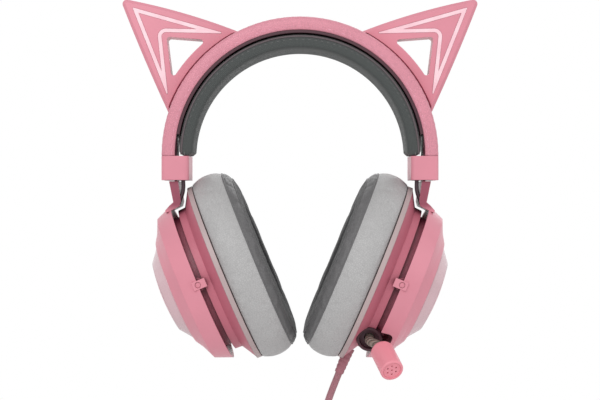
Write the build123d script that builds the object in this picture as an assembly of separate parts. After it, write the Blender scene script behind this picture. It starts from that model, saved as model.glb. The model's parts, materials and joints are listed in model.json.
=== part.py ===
import os
from math import acos, asin, atan2, cos, degrees, hypot, pi, radians, sin, tan

from build123d import *

# Cat-ear gaming headset: an arched headband with two ears, two ear cups that slide and
# tilt, a microphone that pulls out, a mute button, a volume wheel and a corded USB plug.
# Frame: +Z up, +X towards the wearer's left, -Y forward. The origin is the head seat, the
# underside of the headband pad at the crown. Sizes are millimetres, angles are degrees.
# Every piece is built about the centre of the arch and moved to the frame by save().

# ------------------------------------------------------------------ clearances
SEAT = 0.1          # between two rigid pieces of one body that seat on each other
SOFT_GAP = 0.3      # around soft pieces
RUN_GAP = 0.4       # beside a piece that moves

# ------------------------------------------------------------------ headband
SEAT_R = 58.0       # inner radius of the pad
PAD_T = 8.5
TRAY_T = 1.5
COVER_T = 7.4
COVER_WALL = 2.0
SPRING_T = 1.2
BAND_W_TOP = 41.0
BAND_W_END = 31.0
SPRING_W = BAND_W_END - 9.0
SPRING_START = 4.0
PAD_ROUND = 3.0
COVER_ROUND = 2.5
TRAY_SCREW_ANGLES = (20.0, 41.0, 90.0, 139.0, 160.0)
EAR_SCREW_ANGLES = (30.0, 52.0)

PAD_OUT = SEAT_R + PAD_T
TRAY_IN = PAD_OUT + SOFT_GAP
TRAY_OUT = TRAY_IN + TRAY_T
COVER_IN = TRAY_OUT + SEAT
COVER_OUT = COVER_IN + COVER_T
ROOF_R = COVER_OUT - COVER_WALL
SPRING_OUT = ROOF_R - SOFT_GAP
SPRING_IN = SPRING_OUT - SPRING_T

# ------------------------------------------------------------------ screws
SCREW_R = 1.1
SCREW_HEAD_R = 2.2
SCREW_HEAD_H = 1.3
TRAY_SCREW_L = ROOF_R - TRAY_IN - SCREW_HEAD_H - 0.7
EAR_SCREW_BITE = 4.5   # how far the ear's screws reach into its bosses
EAR_SCREW_L = COVER_OUT - SPRING_IN + EAR_SCREW_BITE
CUP_SCREW_L = 5.0
DISC_SCREW_L = 6.0
BORE_GAP = 0.05     # radial play of a screw in its bore
BOSS_WALL = 1.6

# ------------------------------------------------------------------ ears
EAR_T = 14.0
EAR_FRONT_T = 5.0   # thickness of the front shell; the back shell is the rest
EAR_WALL = 1.8
EAR_FOOT_ANGLE = 17.8
EAR_HEEL_ANGLE = 64.2
# The ear's points are written for a band of this outer radius, and move out with the band's
# own surface at the ear's middle angle.
EAR_BAND_R = 75.8
EAR_ANGLE = 41.0
EAR_TIP = (99.4, 87.2)
EAR_TIP_R = 2.4
EAR_SIDE_BOW = 0.6
EAR_TOP_BOW = 1.7
EAR_BEVEL = 1.6
EAR_STRIP = 6.2     # width of the strip between the band and the through hole
HOLE_OUT = (73.6, 65.8)
HOLE_TOP = (51.6, 64.6)
HOLE_LOW = (71.9, 42.4)
HOLE_ROUND = 1.5
LIGHT_FOOT = (72.7, 32.2)
LIGHT_TIP = (92.4, 82.0)
LIGHT_HEEL = (41.0, 67.6)
LIGHT_CORNER = (76.6, 68.4)
LIGHT_W = 2.0
LIGHT_TIP_ROUND = 0.35
LIGHT_CORNER_ROUND = 2.4
LIGHT_DEPTH = 2.5
LIGHT_PROUD = 0.2
LED_COUNT = 8
LED_BOARD_T = 0.8

# ------------------------------------------------------------------ end sleeves and sliders
SLEEVE_T = 15.2     # from the band's outer face inwards
SLEEVE_IN_X = COVER_OUT - SLEEVE_T
SLEEVE_L = 13.2
SLEEVE_WALL = 2.0
SLEEVE_LIP = 0.3    # how far the sleeve stands out from the band at the sides
SLEEVE_ROUND = 2.5
SLIDE_TRAVEL = 20.0
GUIDE_W = BAND_W_END - 10.6
GUIDE_TONGUE = 8.0
TONGUE_T = 2.2
TONGUE_GAP = 0.7     # between the guide's tongue and the spring above it
BLADE_T = 1.2
BLADE_W = GUIDE_W - 2.4
BLADE_X = SPRING_IN - TONGUE_GAP - TONGUE_T - RUN_GAP - BLADE_T / 2
BLADE_TOP = SLIDE_TRAVEL - 4.0
# The tray begins at the angle where its outer face has come clear of the blade's inner one.
TRAY_START = round(degrees(acos((BLADE_X - BLADE_T / 2 - RUN_GAP) / TRAY_OUT)) + 0.7, 1)
BLADE_FOOT = -SLEEVE_L - 8.8
DETENTS = 9
DETENT_R = 0.7
LINK_R = 1.1
LINK_Y = -(BAND_W_END / 2 + SLEEVE_LIP - SLEEVE_WALL + GUIDE_W / 2) / 2

# ------------------------------------------------------------------ ear cups
TILT_TRAVEL = 7.0
SHELL_WALL = 2.0
SHELL_RIM = (45.5, 40.5)
SHELL_SHOULDER = (SHELL_RIM[0] - 3.8, SHELL_RIM[1] - 3.0)
SHELL_SHOULDER_A = 9.4
SHELL_FACE = (SHELL_RIM[0] - 11.3, SHELL_RIM[1] - 7.3)
SHELL_FACE_A = 12.7
RING_OUT_R = 27.4
RING_IN_R = 20.3
RING_LOW_A = 15.9
RING_HIGH_A = 21.5
RING_T = 2.0
DISC_CROWN = 2.0
DISC_T = 1.8
DISC_HOLE_R = 0.8
DISC_HOLE_PITCH = 3.4
FLOOR_A = 11.4
FLOOR_T = 1.8
DISC_SCREW_CIRCLE = 15.6
NECK_HALF_W = BAND_W_END / 2 - 2.0
NECK_GAP = 0.6      # between the neck and the sleeve with the cup fully up
NECK_OUT = 3.3      # from the blade's middle to the neck's outer and inner faces at the top
NECK_IN = 1.7
NECK_TOP = -SLEEVE_L - SEAT - NECK_GAP
NECK_DROP = 13.5    # from the neck's top to the shell's rim
RIM_X = BLADE_X + NECK_OUT          # top of the shell's rim
CUSHION_U = SHELL_RIM[0] + 3.2      # lowest inner corner of the cushion, in the cup's own frame
CUSHION_A = 36.9
MIDDLE_GAP = 1.4                    # from that corner to the middle plane
# With no head between them the cups lean outwards at the top until their cushions almost meet.
# The lean and the pivot are rounded to a tenth, so that the joints can be written down exactly.
CORNER_R = hypot(SHELL_RIM[0] + CUSHION_U, CUSHION_A)
CORNER_ANGLE = atan2(CUSHION_A, SHELL_RIM[0] + CUSHION_U)
CUP_LEAN = round(degrees(asin((RIM_X - MIDDLE_GAP) / CORNER_R) - CORNER_ANGLE), 1)
PIVOT_X = round(RIM_X - SHELL_RIM[0] * sin(radians(CUP_LEAN)), 1)
PIVOT_Z = round(NECK_TOP - NECK_DROP - SHELL_RIM[0] * cos(radians(CUP_LEAN)), 1)
LUG_H = 4.8
LUG_REACH = 4.5
PIN_R = 1.5
PIN_BOSS_Y = SHELL_RIM[1] - 3.7     # half the distance across the housing's pin bosses
FLANGE = (SHELL_RIM[0] + 5.5, SHELL_RIM[1] + 5.5)
FLANGE_T = 2.7
FLANGE_A = -12.3
HOUSING_WALL = 2.0
HOUSING_FLARE = (SHELL_RIM[0] + 0.3, SHELL_RIM[1] + 0.1)
HOUSING_FLARE_A = -9.5
HOUSING_WAIST = (SHELL_RIM[0] - 3.9, SHELL_RIM[1] - 3.4)
HOUSING_WAIST_A = -7.0
HOUSING_STEP_A = -3.0
HOUSING_NECK = (SHELL_RIM[0] - 7.5, SHELL_RIM[1] - 6.5)
HOUSING_NECK_A = 2.0
HOUSING_BACK = (24.0, 23.0)
HOUSING_BACK_A = 6.0
CUSHION = (FLANGE[0] + 2.0, FLANGE[1] - 0.5)
CUSHION_DEPTH = 24.0
CUSHION_SHRINKS = ((0.0, 0.6), (0.12, 0.0), (0.62, 0.0), (0.74, 1.0), (0.9, 4.3), (1.0, 12.5))
DRIVER_R = 25.0
DRIVER_WALL = 1.2
DRIVER_DEPTH = 6.4
DRIVER_FLANGE_R = DRIVER_R + 1.4
MAGNET_R = 13.0
MAGNET_T = 5.2
CUSHION_HOLE = (DRIVER_FLANGE_R + 6.1, DRIVER_FLANGE_R + 0.6)
CLOTH = (CUSHION_HOLE[0] - 0.7, CUSHION_HOLE[1] - 0.7)
CLOTH_T = 0.5
CUP_SCREW_ANGLES = (0.0, 95.0, 205.0, 265.0)
CUP_SCREW_OVAL = (SHELL_RIM[0] - 3.5, SHELL_RIM[1] - 4.1)
BOARD_A = -2.6
BOARD_T = 1.2
BOARD_L = 24.0
BOARD_W = 38.0

# ------------------------------------------------------------------ controls (left cup)
WHEEL_R = 7.0
WHEEL_T = 3.6
WHEEL_U = -14.0
WHEEL_PROUD = 2.6
AXLE_R = 1.2
BRACKET_T = 1.0     # brackets that the wheel's axle turns in
BUTTON_R = 2.8
BUTTON_U = 13.0
BUTTON_PROUD = 1.2
BUTTON_TRAVEL = 0.8
BUTTON_COLLAR = 1.0
BUTTON_IN = 2.2      # how far the button reaches in behind its collar's outer face
CONTROL_A = -5.0

# ------------------------------------------------------------------ microphone (left cup)
PORT_U = 7.9 - HOUSING_WAIST[0]     # height of the port in the cup's own frame
PORT_A = -4.0
PORT_PROUD = 2.25                   # from the housing's side to the port's middle
MIC_LEAN = 18.7                     # how far the boom's axis drops below straight forward
PORT_R = 6.8
PORT_IN = 7.0
PORT_OUT = 2.0
BOOM_R = 2.5
MIC_TRAVEL = 26.0
BOOM_TAIL = MIC_TRAVEL + PORT_IN + 3.0
CAPSULE_R = 6.2
CAPSULE_L = 20.0
CAPSULE_REACH = (-9.47, 28.0, 15.58)  # from the port to the front disc, in the cup's own frame
CAPSULE_AXIS = (0.25, -0.83, -0.50)   # in the headset's frame

# ------------------------------------------------------------------ cord
CORD_R = 1.95
CORD_EXIT_A = -10.6
RELIEF_ROOT_R = 3.2
RELIEF_TIP_R = 2.5
RELIEF_L = 14.0
RELIEF_IN = 4.0
# Route from the exit to the hank, about the arch centre, after the two points that the
# strain relief sets.
CORD_POINTS = ((15.7, 0.0, -135.2), (11.6, 0.6, -148.6), (9.0, 1.0, -162.2), (7.9, 1.0, -176.4))
HANK_W = 43.0
HANK_T = 16.4
HANK_L = 84.0
TIE_W = 12.0
TIE_T = 1.4
TAIL_POINTS = ((0.0, 0.0, 0.0), (0.6, 0.4, -9.0), (0.3, 0.0, -18.0))
PLUG_W = 16.0
PLUG_T = 8.0
PLUG_L = 30.0
USB_W = 12.0
USB_T = 4.5
USB_L = 18.75
USB_WALL = 0.3

CUP_PLANE = Plane(
    origin=(PIVOT_X, 0, PIVOT_Z),
    x_dir=(sin(radians(CUP_LEAN)), 0, cos(radians(CUP_LEAN))),
    z_dir=(cos(radians(CUP_LEAN)), 0, -sin(radians(CUP_LEAN))),
)


# ------------------------------------------------------------------ helpers
def at_angle(radius, angle):
    """Point of the XZ plane at a radius and an angle about the arch centre."""
    return (radius * cos(radians(angle)), radius * sin(radians(angle)))


def radial(angle, radius, y=0.0):
    """Place whose Z axis points away from the arch centre."""
    x, z = at_angle(radius, angle)
    away, up = at_angle(1.0, angle)
    return Plane(origin=(x, y, z), x_dir=(0, 1, 0), z_dir=(away, 0, up)).location


def slab(outline, front, back):
    """Extrude an XZ outline from Y = front to Y = back."""
    return extrude(Plane.XZ.offset(-back) * outline, back - front)


def block(x0, x1, y0, y1, z0, z1):
    """Box between two corners."""
    return Pos((x0 + x1) / 2, (y0 + y1) / 2, (z0 + z1) / 2) * Box(x1 - x0, y1 - y0, z1 - z0)


def rod(radius, z0, z1):
    """Cylinder along Z from z0 to z1."""
    return Pos(0, 0, (z0 + z1) / 2) * Cylinder(radius, z1 - z0)


def bowed(start, end, bow):
    """Arc between two points that stands out to the right of its chord by bow."""
    dx, dy = end[0] - start[0], end[1] - start[1]
    length = (dx * dx + dy * dy) ** 0.5
    middle = ((start[0] + end[0]) / 2 + dy / length * bow, (start[1] + end[1]) / 2 - dx / length * bow)
    return ThreePointArc(start, middle, end)


def on_ear(point):
    """A point of the ear, moved out with the band's surface."""
    dx, dz = at_angle(COVER_OUT - EAR_BAND_R, EAR_ANGLE)
    return (point[0] + dx, point[1] + dz)


def ring_sector(r_in, r_out, start, end):
    """Face between two radii and two angles about the arch centre."""
    return make_face([
        CenterArc((0, 0), r_out, start, end - start),
        Line(at_angle(r_out, end), at_angle(r_in, end)),
        CenterArc((0, 0), r_in, start, end - start),
        Line(at_angle(r_in, start), at_angle(r_out, start)),
    ])


def oval_stack(sections):
    """Ruled solid through ovals given as (height, half-length along X, half-width along Y)."""
    return loft([Pos(0, 0, a) * Ellipse(ru, ry) for a, ru, ry in sections], ruled=True)


def turned(points):
    """Solid of revolution about Z of a closed (radius, height) polygon."""
    return revolve(Plane.XZ * make_face(Polyline(*points, close=True)), Axis.Z)


def screw(length):
    """Pan-head screw: head below Z = 0, shank above it."""
    socket = Pos(0, 0, -SCREW_HEAD_H) * extrude(RegularPolygon(SCREW_R * 0.7, 6), SCREW_HEAD_H * 0.6)
    return rod(SCREW_HEAD_R, -SCREW_HEAD_H, 0) + rod(SCREW_R, 0, length) - socket


def corner_radii(points, share=0.45):
    """Largest tangent arc at each corner: a share of the shorter run over tan(half turn)."""
    radii = []
    for before, corner, after in zip(points, points[1:], points[2:]):
        run_in = Vector(*corner) - Vector(*before)
        run_out = Vector(*after) - Vector(*corner)
        half_turn = radians(run_in.get_angle(run_out) / 2)
        radii.append(share * min(run_in.length, run_out.length) / tan(half_turn))
    return radii


def tube(points, radius):
    """Round tube along straight runs joined by tangent arcs."""
    path = FilletPolyline(*points, radius=corner_radii(points))
    return sweep(Plane(origin=path @ 0, z_dir=path % 0) * Circle(radius), path=path), path


def to_cup(shape):
    """Move a shape from the cup's own frame (u, forward, a) to the arch."""
    return CUP_PLANE.location * shape


def cup_point(u, forward, a):
    """Point of the cup's own frame, about the arch centre."""
    return tuple(CUP_PLANE.from_local_coords((u, forward, a)))


def mirrored(shape):
    """The wearer's right-hand copy of a left-hand shape."""
    return mirror(shape, about=Plane.YZ)


def save(name, shape):
    """Move a shape from the arch centre to the head seat and write it."""
    export_step(Pos(0, 0, -SEAT_R) * shape, f"parts/{name}.step")


def save_pair(name, left, right=None):
    """Write a left-hand shape and its mirrored right-hand one."""
    save(f"{name}_left", left)
    save(f"{name}_right", mirrored(left if right is None else right))


# ------------------------------------------------------------------ headband
def band_prism(inset):
    """Everything inside the band's width, which narrows from the crown to the ends."""
    low = BAND_W_END / 2 - inset
    high = BAND_W_TOP / 2 - inset
    middle = low + (high - low) * 0.76
    foot, top = -1.0, COVER_OUT + 1.0
    outline = make_face([
        Line((-low, foot), (low, foot)),
        ThreePointArc((low, foot), (middle, COVER_OUT * 0.6), (high, top)),
        Line((high, top), (-high, top)),
        ThreePointArc((-high, top), (-middle, COVER_OUT * 0.6), (-low, foot)),
    ])
    return extrude(Plane.YZ * outline, COVER_OUT + 1.0, both=True)


def arch(r_in, r_out, start, inset):
    """Arched strip from the angle start to its mirror image, as wide as the band allows."""
    strip = slab(ring_sector(r_in, r_out, start, 180 - start), -BAND_W_TOP, BAND_W_TOP)
    return strip & band_prism(inset)


def long_edges(shape, radius):
    """The edges that run round the arch at about one radius."""
    def along(edge):
        middle = edge @ 0.5
        return abs((middle.X ** 2 + middle.Z ** 2) ** 0.5 - radius) < 0.2 and abs(middle.Y) > 5
    return shape.edges().filter_by(along)


def headband_cover():
    cover = arch(COVER_IN, COVER_OUT, 0, 0)
    cover = fillet(long_edges(cover, COVER_OUT), COVER_ROUND)
    cover -= arch(COVER_IN - 1, ROOF_R, -1, COVER_WALL)
    boss_r = SCREW_R + BOSS_WALL
    for angle in TRAY_SCREW_ANGLES:
        cover += radial(angle, 0) * rod(boss_r, COVER_IN + SEAT, ROOF_R + SEAT)
        cover -= radial(angle, 0) * rod(SCREW_R + BORE_GAP, COVER_IN - 1, ROOF_R)
    for angle in ear_screw_angles():
        cover -= radial(angle, 0, ear_screw_y()) * rod(SCREW_R + BORE_GAP, COVER_IN, COVER_OUT + 1)
    return cover


def ear_screw_angles():
    return EAR_SCREW_ANGLES + tuple(180 - angle for angle in EAR_SCREW_ANGLES)


def ear_screw_y():
    """Middle of the back shell's depth."""
    return -EAR_T / 2 + EAR_FRONT_T + (EAR_T - EAR_FRONT_T) / 2


def headband_spring():
    sector = ring_sector(SPRING_IN, SPRING_OUT, SPRING_START, 180 - SPRING_START)
    strip = slab(sector, -SPRING_W / 2, SPRING_W / 2)
    for angle in TRAY_SCREW_ANGLES:
        strip -= radial(angle, 0) * rod(SCREW_R + BOSS_WALL + SEAT, SPRING_IN - 1, SPRING_OUT + 1)
    for angle in ear_screw_angles():
        strip -= radial(angle, 0, ear_screw_y()) * rod(SCREW_R + BORE_GAP, SPRING_IN - 1, SPRING_OUT + 1)
    return strip


def headband_tray():
    tray = arch(TRAY_IN, TRAY_OUT, TRAY_START, SOFT_GAP)
    for angle in TRAY_SCREW_ANGLES:
        tray -= radial(angle, 0) * rod(SCREW_HEAD_R + SEAT, TRAY_IN - 1, TRAY_IN + SCREW_HEAD_H)
        tray -= radial(angle, 0) * rod(SCREW_R + BORE_GAP, TRAY_IN, TRAY_OUT + 1)
    return tray


def headband_pad():
    pad = arch(SEAT_R, PAD_OUT, 0, SOFT_GAP)
    pad = fillet(long_edges(pad, SEAT_R), PAD_ROUND)
    return pad & block(-PAD_OUT, PAD_OUT, -BAND_W_TOP, BAND_W_TOP, SOFT_GAP, PAD_OUT)


def tray_screws():
    places = [radial(angle, TRAY_IN + SCREW_HEAD_H - SEAT / 2) for angle in TRAY_SCREW_ANGLES]
    return Compound([place * screw(TRAY_SCREW_L) for place in places])


def ear_screws():
    places = [radial(angle, SPRING_IN - SEAT, ear_screw_y()) for angle in ear_screw_angles()]
    return Compound([place * screw(EAR_SCREW_L) for place in places])


# ------------------------------------------------------------------ ears
def ear_outline():
    seat_r = COVER_OUT + SEAT
    foot = at_angle(seat_r, EAR_FOOT_ANGLE)
    heel = at_angle(seat_r, EAR_HEEL_ANGLE)
    face = make_face([
        bowed(foot, on_ear(EAR_TIP), EAR_SIDE_BOW),
        bowed(on_ear(EAR_TIP), heel, EAR_TOP_BOW),
        CenterArc((0, 0), seat_r, EAR_FOOT_ANGLE, EAR_HEEL_ANGLE - EAR_FOOT_ANGLE),
    ])
    tip = face.vertices().sort_by_distance((*on_ear(EAR_TIP), 0))[0]
    return fillet(tip, EAR_TIP_R)


def ear_hole():
    strip_r = COVER_OUT + EAR_STRIP
    out = on_ear(HOLE_OUT)
    top = Vector(*on_ear(HOLE_TOP), 0).normalized() * strip_r
    low = Vector(*on_ear(HOLE_LOW), 0).normalized() * strip_r
    middle = (top + low).normalized() * strip_r
    face = make_face([
        Line(out, (top.X, top.Y)),
        ThreePointArc((top.X, top.Y), (middle.X, middle.Y), (low.X, low.Y)),
        Line((low.X, low.Y), out),
    ])
    return fillet(face.vertices(), HOLE_ROUND)


def light_outline():
    """Outer edge of the light strip, sharp at its corners."""
    corners = [on_ear(point) for point in (LIGHT_FOOT, LIGHT_TIP, LIGHT_HEEL, LIGHT_CORNER)]
    return make_face(Polyline(*corners, close=True))


def light_loop(grow=0.0):
    """Closed outline strip that the light guide fills."""
    face = light_outline()
    corner = (*on_ear(LIGHT_CORNER), 0)
    face = fillet(face.vertices().sort_by_distance(corner)[1:], LIGHT_TIP_ROUND)
    face = fillet(face.vertices().sort_by_distance(corner)[0], LIGHT_CORNER_ROUND)
    return offset(face, grow) - offset(face, -LIGHT_W - grow)


def led_places():
    """Points along the middle of the light strip, evenly spaced."""
    wire = offset(light_outline(), -LIGHT_W / 2).wires()[0]
    return [wire.position_at((index + 0.5) / LED_COUNT) for index in range(LED_COUNT)]


def bevelled_ear(front, back, bevel_y):
    """Ear plate with its hole, with the outer edges of one face bevelled."""
    plate = slab(ear_outline(), front, back)
    edges = plate.edges().filter_by_position(Axis.Y, bevel_y - 0.01, bevel_y + 0.01)
    plate = chamfer(edges, EAR_BEVEL)
    return plate - slab(ear_hole(), front - 1, back + 1)


def ear_front_shell():
    front, back = -EAR_T / 2, -EAR_T / 2 + EAR_FRONT_T
    shell = bevelled_ear(front, back, front)
    shell -= slab(light_loop(SEAT), front - 1, front + LIGHT_DEPTH)
    for point in led_places():
        shell -= Pos(point.X, 0, point.Y) * Rot(X=90) * rod(LIGHT_W * 0.4, -back - 1, -front)
    return shell


def ear_back_shell():
    front, back = -EAR_T / 2 + EAR_FRONT_T, EAR_T / 2
    shell = bevelled_ear(front, back, back)
    pocket = offset(ear_outline(), -EAR_WALL, kind=Kind.INTERSECTION) - offset(ear_hole(), EAR_WALL)
    plate = slab(ear_outline(), front, back) - slab(ear_hole(), front - 1, back + 1)
    shell -= slab(pocket, front - 1, back - EAR_WALL)
    for angle in EAR_SCREW_ANGLES:
        place = radial(angle, 0, ear_screw_y())
        tip = COVER_OUT + EAR_SCREW_BITE
        shell += place * rod(SCREW_R + BOSS_WALL, COVER_OUT - 1, tip + 2.5) & plate
        shell -= place * rod(SCREW_R + BORE_GAP, COVER_OUT - 1, tip + 1.5)
    return shell


def ear_light_guide():
    front = -EAR_T / 2
    return slab(light_loop(), front - LIGHT_PROUD, front + LIGHT_DEPTH - SEAT)


def ear_led_strip():
    """Flexible board behind the front shell, with one light at each window."""
    front = -EAR_T / 2 + EAR_FRONT_T + SEAT
    strip = slab(light_loop(-SEAT), front, front + LED_BOARD_T)
    for point in led_places():
        strip += Pos(point.X, 0, point.Y) * Rot(X=90) * rod(LIGHT_W * 0.3, -front - 0.2, -front + 1.2)
    return strip


# ------------------------------------------------------------------ end sleeves and sliders
def end_sleeve():
    half = BAND_W_END / 2 + SLEEVE_LIP
    outer = block(SLEEVE_IN_X, COVER_OUT, -half, half, -SLEEVE_L - SEAT, -SEAT)
    outer = fillet(outer.edges().filter_by(Axis.Z), SLEEVE_ROUND)
    inner = block(SLEEVE_IN_X + SLEEVE_WALL, COVER_OUT - SLEEVE_WALL, -half + SLEEVE_WALL,
                  half - SLEEVE_WALL, -SLEEVE_L - 1, 1)
    inner = fillet(inner.edges().filter_by(Axis.Z), SLEEVE_ROUND / 2)
    return outer - inner


def slider_guide():
    """Block in the sleeve that the blade runs through, with a tongue up into the cover."""
    low, high = -SLEEVE_L + 1, -SEAT
    half = GUIDE_W / 2
    wall = SLEEVE_WALL + SEAT
    body = block(SLEEVE_IN_X + wall, COVER_OUT - wall, -half, half, low, high)
    tongue_x = BLADE_X + BLADE_T / 2 + RUN_GAP
    body += block(tongue_x, tongue_x + TONGUE_T, -half, half, high, high + GUIDE_TONGUE)
    slot = block(BLADE_X - BLADE_T / 2 - RUN_GAP, tongue_x, -BLADE_W / 2 - RUN_GAP,
                 BLADE_W / 2 + RUN_GAP, low - 1, high + GUIDE_TONGUE + 1)
    return body - slot


def slider_blade():
    """Steel blade with detent holes, fixed in the arm's neck."""
    blade = Pos(BLADE_X, 0, (BLADE_FOOT + BLADE_TOP) / 2) * Box(BLADE_T, BLADE_W, BLADE_TOP - BLADE_FOOT)
    blade = fillet(blade.edges().filter_by(Axis.X), 3.0)
    pitch = SLIDE_TRAVEL / (DETENTS - 1)
    for step in range(DETENTS):
        place = Pos(BLADE_X, 0, BLADE_TOP - 5 - step * pitch) * Rot(Y=90)
        blade -= place * rod(DETENT_R, -BLADE_T, BLADE_T)
    return blade


def link_points():
    """Route of the short cable from the sleeve down into the arm's neck."""
    x = SLEEVE_IN_X + SLEEVE_WALL + LINK_R + SOFT_GAP
    return ((x + 0.6, LINK_Y, -4.0), (x, LINK_Y, -SLEEVE_L), (x - 0.2, LINK_Y, -SLEEVE_L - 5.2),
            (x + 1.1, LINK_Y, -SLEEVE_L - 9.8), (x + 3.0, LINK_Y, -SLEEVE_L - 13.6))


def link_cable():
    return tube(link_points(), LINK_R)[0]


# ------------------------------------------------------------------ arm: outer shell, ring, disc
def neck():
    """Neck between the shell's rim and the sleeve, drawn in the cup's (a, u) plane."""
    outer = CUP_PLANE.to_local_coords(Vector(BLADE_X + NECK_OUT, 0, NECK_TOP))
    inner = CUP_PLANE.to_local_coords(Vector(BLADE_X - NECK_IN, 0, NECK_TOP))
    rim = SHELL_RIM[0]
    outline = make_face(Polyline(
        (outer.Z, outer.X), (inner.Z, inner.X), (-6.9, rim - 0.3), (-5.2, rim - 2.5), (0, rim - 2.9),
        (3.0, rim - 2.9), (3.0, rim - 1.6), (-0.4, rim + 0.1), (-2.9, rim + 0.9), close=True))
    plane = Plane(origin=(0, -NECK_HALF_W, 0), x_dir=(0, 0, 1), z_dir=(0, 1, 0))
    return extrude(plane * outline, 2 * NECK_HALF_W)


def outer_shell(with_port):
    """Outer shell with its neck, its pivot lugs and the floor that carries the ring and disc."""
    outer = oval_stack([
        (0, *SHELL_RIM),
        (SHELL_SHOULDER_A, *SHELL_SHOULDER),
        (SHELL_FACE_A, *SHELL_FACE),
        (RING_LOW_A - 0.5, RING_OUT_R + 2.6, RING_OUT_R + 2.6),
    ])
    wall = SHELL_WALL
    inner = oval_stack([
        (-1.0, SHELL_RIM[0] - wall, SHELL_RIM[1] - wall),
        (SHELL_SHOULDER_A - wall / 4, SHELL_SHOULDER[0] - wall, SHELL_SHOULDER[1] - wall),
        (FLOOR_A, SHELL_FACE[0] - wall / 2, SHELL_FACE[1] - wall / 2),
    ])
    shell = outer + neck()
    for side in (-1, 1):
        y0, y1 = sorted((side * (SHELL_RIM[1] - 2.5), side * (SHELL_RIM[1] + 0.1)))
        shell += block(-LUG_H / 2, LUG_H / 2, y0, y1, -LUG_REACH, 3.0)
    shell -= inner - block(-LUG_H / 2, LUG_H / 2, -SHELL_RIM[1], SHELL_RIM[1], -2, 3) - neck()
    shell -= block(-LUG_H, LUG_H, -SHELL_RIM[1] + 2.5, SHELL_RIM[1] - 2.5, -LUG_REACH - 1, 3.1)
    shell -= Rot(X=90) * rod(PIN_R + SEAT, -SHELL_RIM[1] - 1, SHELL_RIM[1] + 1)
    shell -= rod(RING_OUT_R - 3.4, FLOOR_A + FLOOR_T, RING_LOW_A + 1)
    for place in disc_screw_places():
        shell -= place * rod(SCREW_R + BORE_GAP, FLOOR_A - 1, FLOOR_A + FLOOR_T + 1)
    if with_port:
        shell -= port_notch()
    shell = to_cup(shell)
    shell -= block(BLADE_X - BLADE_T / 2 - SEAT, BLADE_X + BLADE_T / 2 + SEAT, -BLADE_W / 2 - SEAT,
                   BLADE_W / 2 + SEAT, BLADE_FOOT - SEAT, 0)
    shell -= tube(link_points(), LINK_R + SEAT)[0]
    return shell


def port_notch():
    """Cut in the shell's rim that the microphone port swings through as the cup tilts."""
    half = PORT_R + 1.2
    reach = PORT_A + PORT_R + RUN_GAP + abs(PORT_U) * sin(radians(TILT_TRAVEL))
    notch = block(-half, half, -14, 14, -8, reach)
    notch = fillet(notch.edges().filter_by(Axis.Y), 3.0)
    u, forward, _ = port()
    return Pos(u, forward, 0) * Rot(Z=MIC_LEAN) * notch


def disc_screw_places():
    return PolarLocations(DISC_SCREW_CIRCLE, 3, start_angle=90).locations


def light_ring():
    low = RING_LOW_A - 0.5 + SEAT
    foot = RING_OUT_R - 3.0
    return to_cup(turned([(RING_OUT_R, low), (RING_OUT_R, RING_LOW_A), (RING_IN_R, RING_HIGH_A),
                          (RING_IN_R, RING_HIGH_A - RING_T), (foot, low)]))


def side_disc():
    """Domed, perforated cap on a skirt that stands on the shell's floor."""
    outer_r = RING_IN_R - SEAT
    high = RING_HIGH_A
    top = make_face([
        Line((0, high - DISC_T), (0, high + DISC_CROWN)),
        ThreePointArc((0, high + DISC_CROWN), (outer_r * 0.5, high + DISC_CROWN * 0.75), (outer_r, high)),
        Line((outer_r, high), (outer_r, high - DISC_T)),
        Line((outer_r, high - DISC_T), (0, high - DISC_T)),
    ])
    disc = revolve(Plane.XZ * top, Axis.Z)
    foot = FLOOR_A + FLOOR_T + SEAT
    disc += rod(outer_r - 0.3, foot, high - DISC_T) - rod(outer_r - 2.1, foot - 1, high - DISC_T + 0.01)
    for place in disc_screw_places():
        disc += place * rod(SCREW_R + BOSS_WALL, foot, high - DISC_T)
        disc -= place * rod(SCREW_R + BORE_GAP, foot - 1, FLOOR_A + DISC_SCREW_L + 1)
    holes = HexLocations(DISC_HOLE_PITCH / 2, 9, 9)
    clear = outer_r - 3.4
    spots = [spot for spot in holes.locations if spot.position.length < clear]
    hole = rod(DISC_HOLE_R, high - DISC_T - 1, high + DISC_CROWN + 1)
    return to_cup(disc - [spot * hole for spot in spots])


def led_board():
    """Ring-shaped board with eight lights under the light ring."""
    low = FLOOR_A + FLOOR_T + SEAT
    board = rod(RING_OUT_R - 3.6, low, low + 1.2) - rod(RING_IN_R + 0.1, low - 1, low + 2)
    for place in PolarLocations((RING_IN_R + RING_OUT_R - 3.6) / 2, LED_COUNT):
        board += place * block(-0.9, 0.9, -0.9, 0.9, low + 1.2, low + 1.8)
    return to_cup(board)


def disc_screws():
    return to_cup(Compound([place * Pos(0, 0, FLOOR_A - SEAT) * screw(DISC_SCREW_L)
                            for place in disc_screw_places()]))


# ------------------------------------------------------------------ cup
def housing_outer():
    return oval_stack([
        (FLANGE_A + SEAT, FLANGE[0] - 0.5, FLANGE[1] - 1.2),
        (HOUSING_FLARE_A, *HOUSING_FLARE),
        (HOUSING_WAIST_A, *HOUSING_WAIST),
        (HOUSING_STEP_A, HOUSING_WAIST[0] - 0.2, HOUSING_WAIST[1] - 0.2),
    ]) + oval_stack([
        (HOUSING_STEP_A - 1, *HOUSING_NECK),
        (HOUSING_NECK_A, *HOUSING_NECK),
        (HOUSING_BACK_A, *HOUSING_BACK),
    ])


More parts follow.
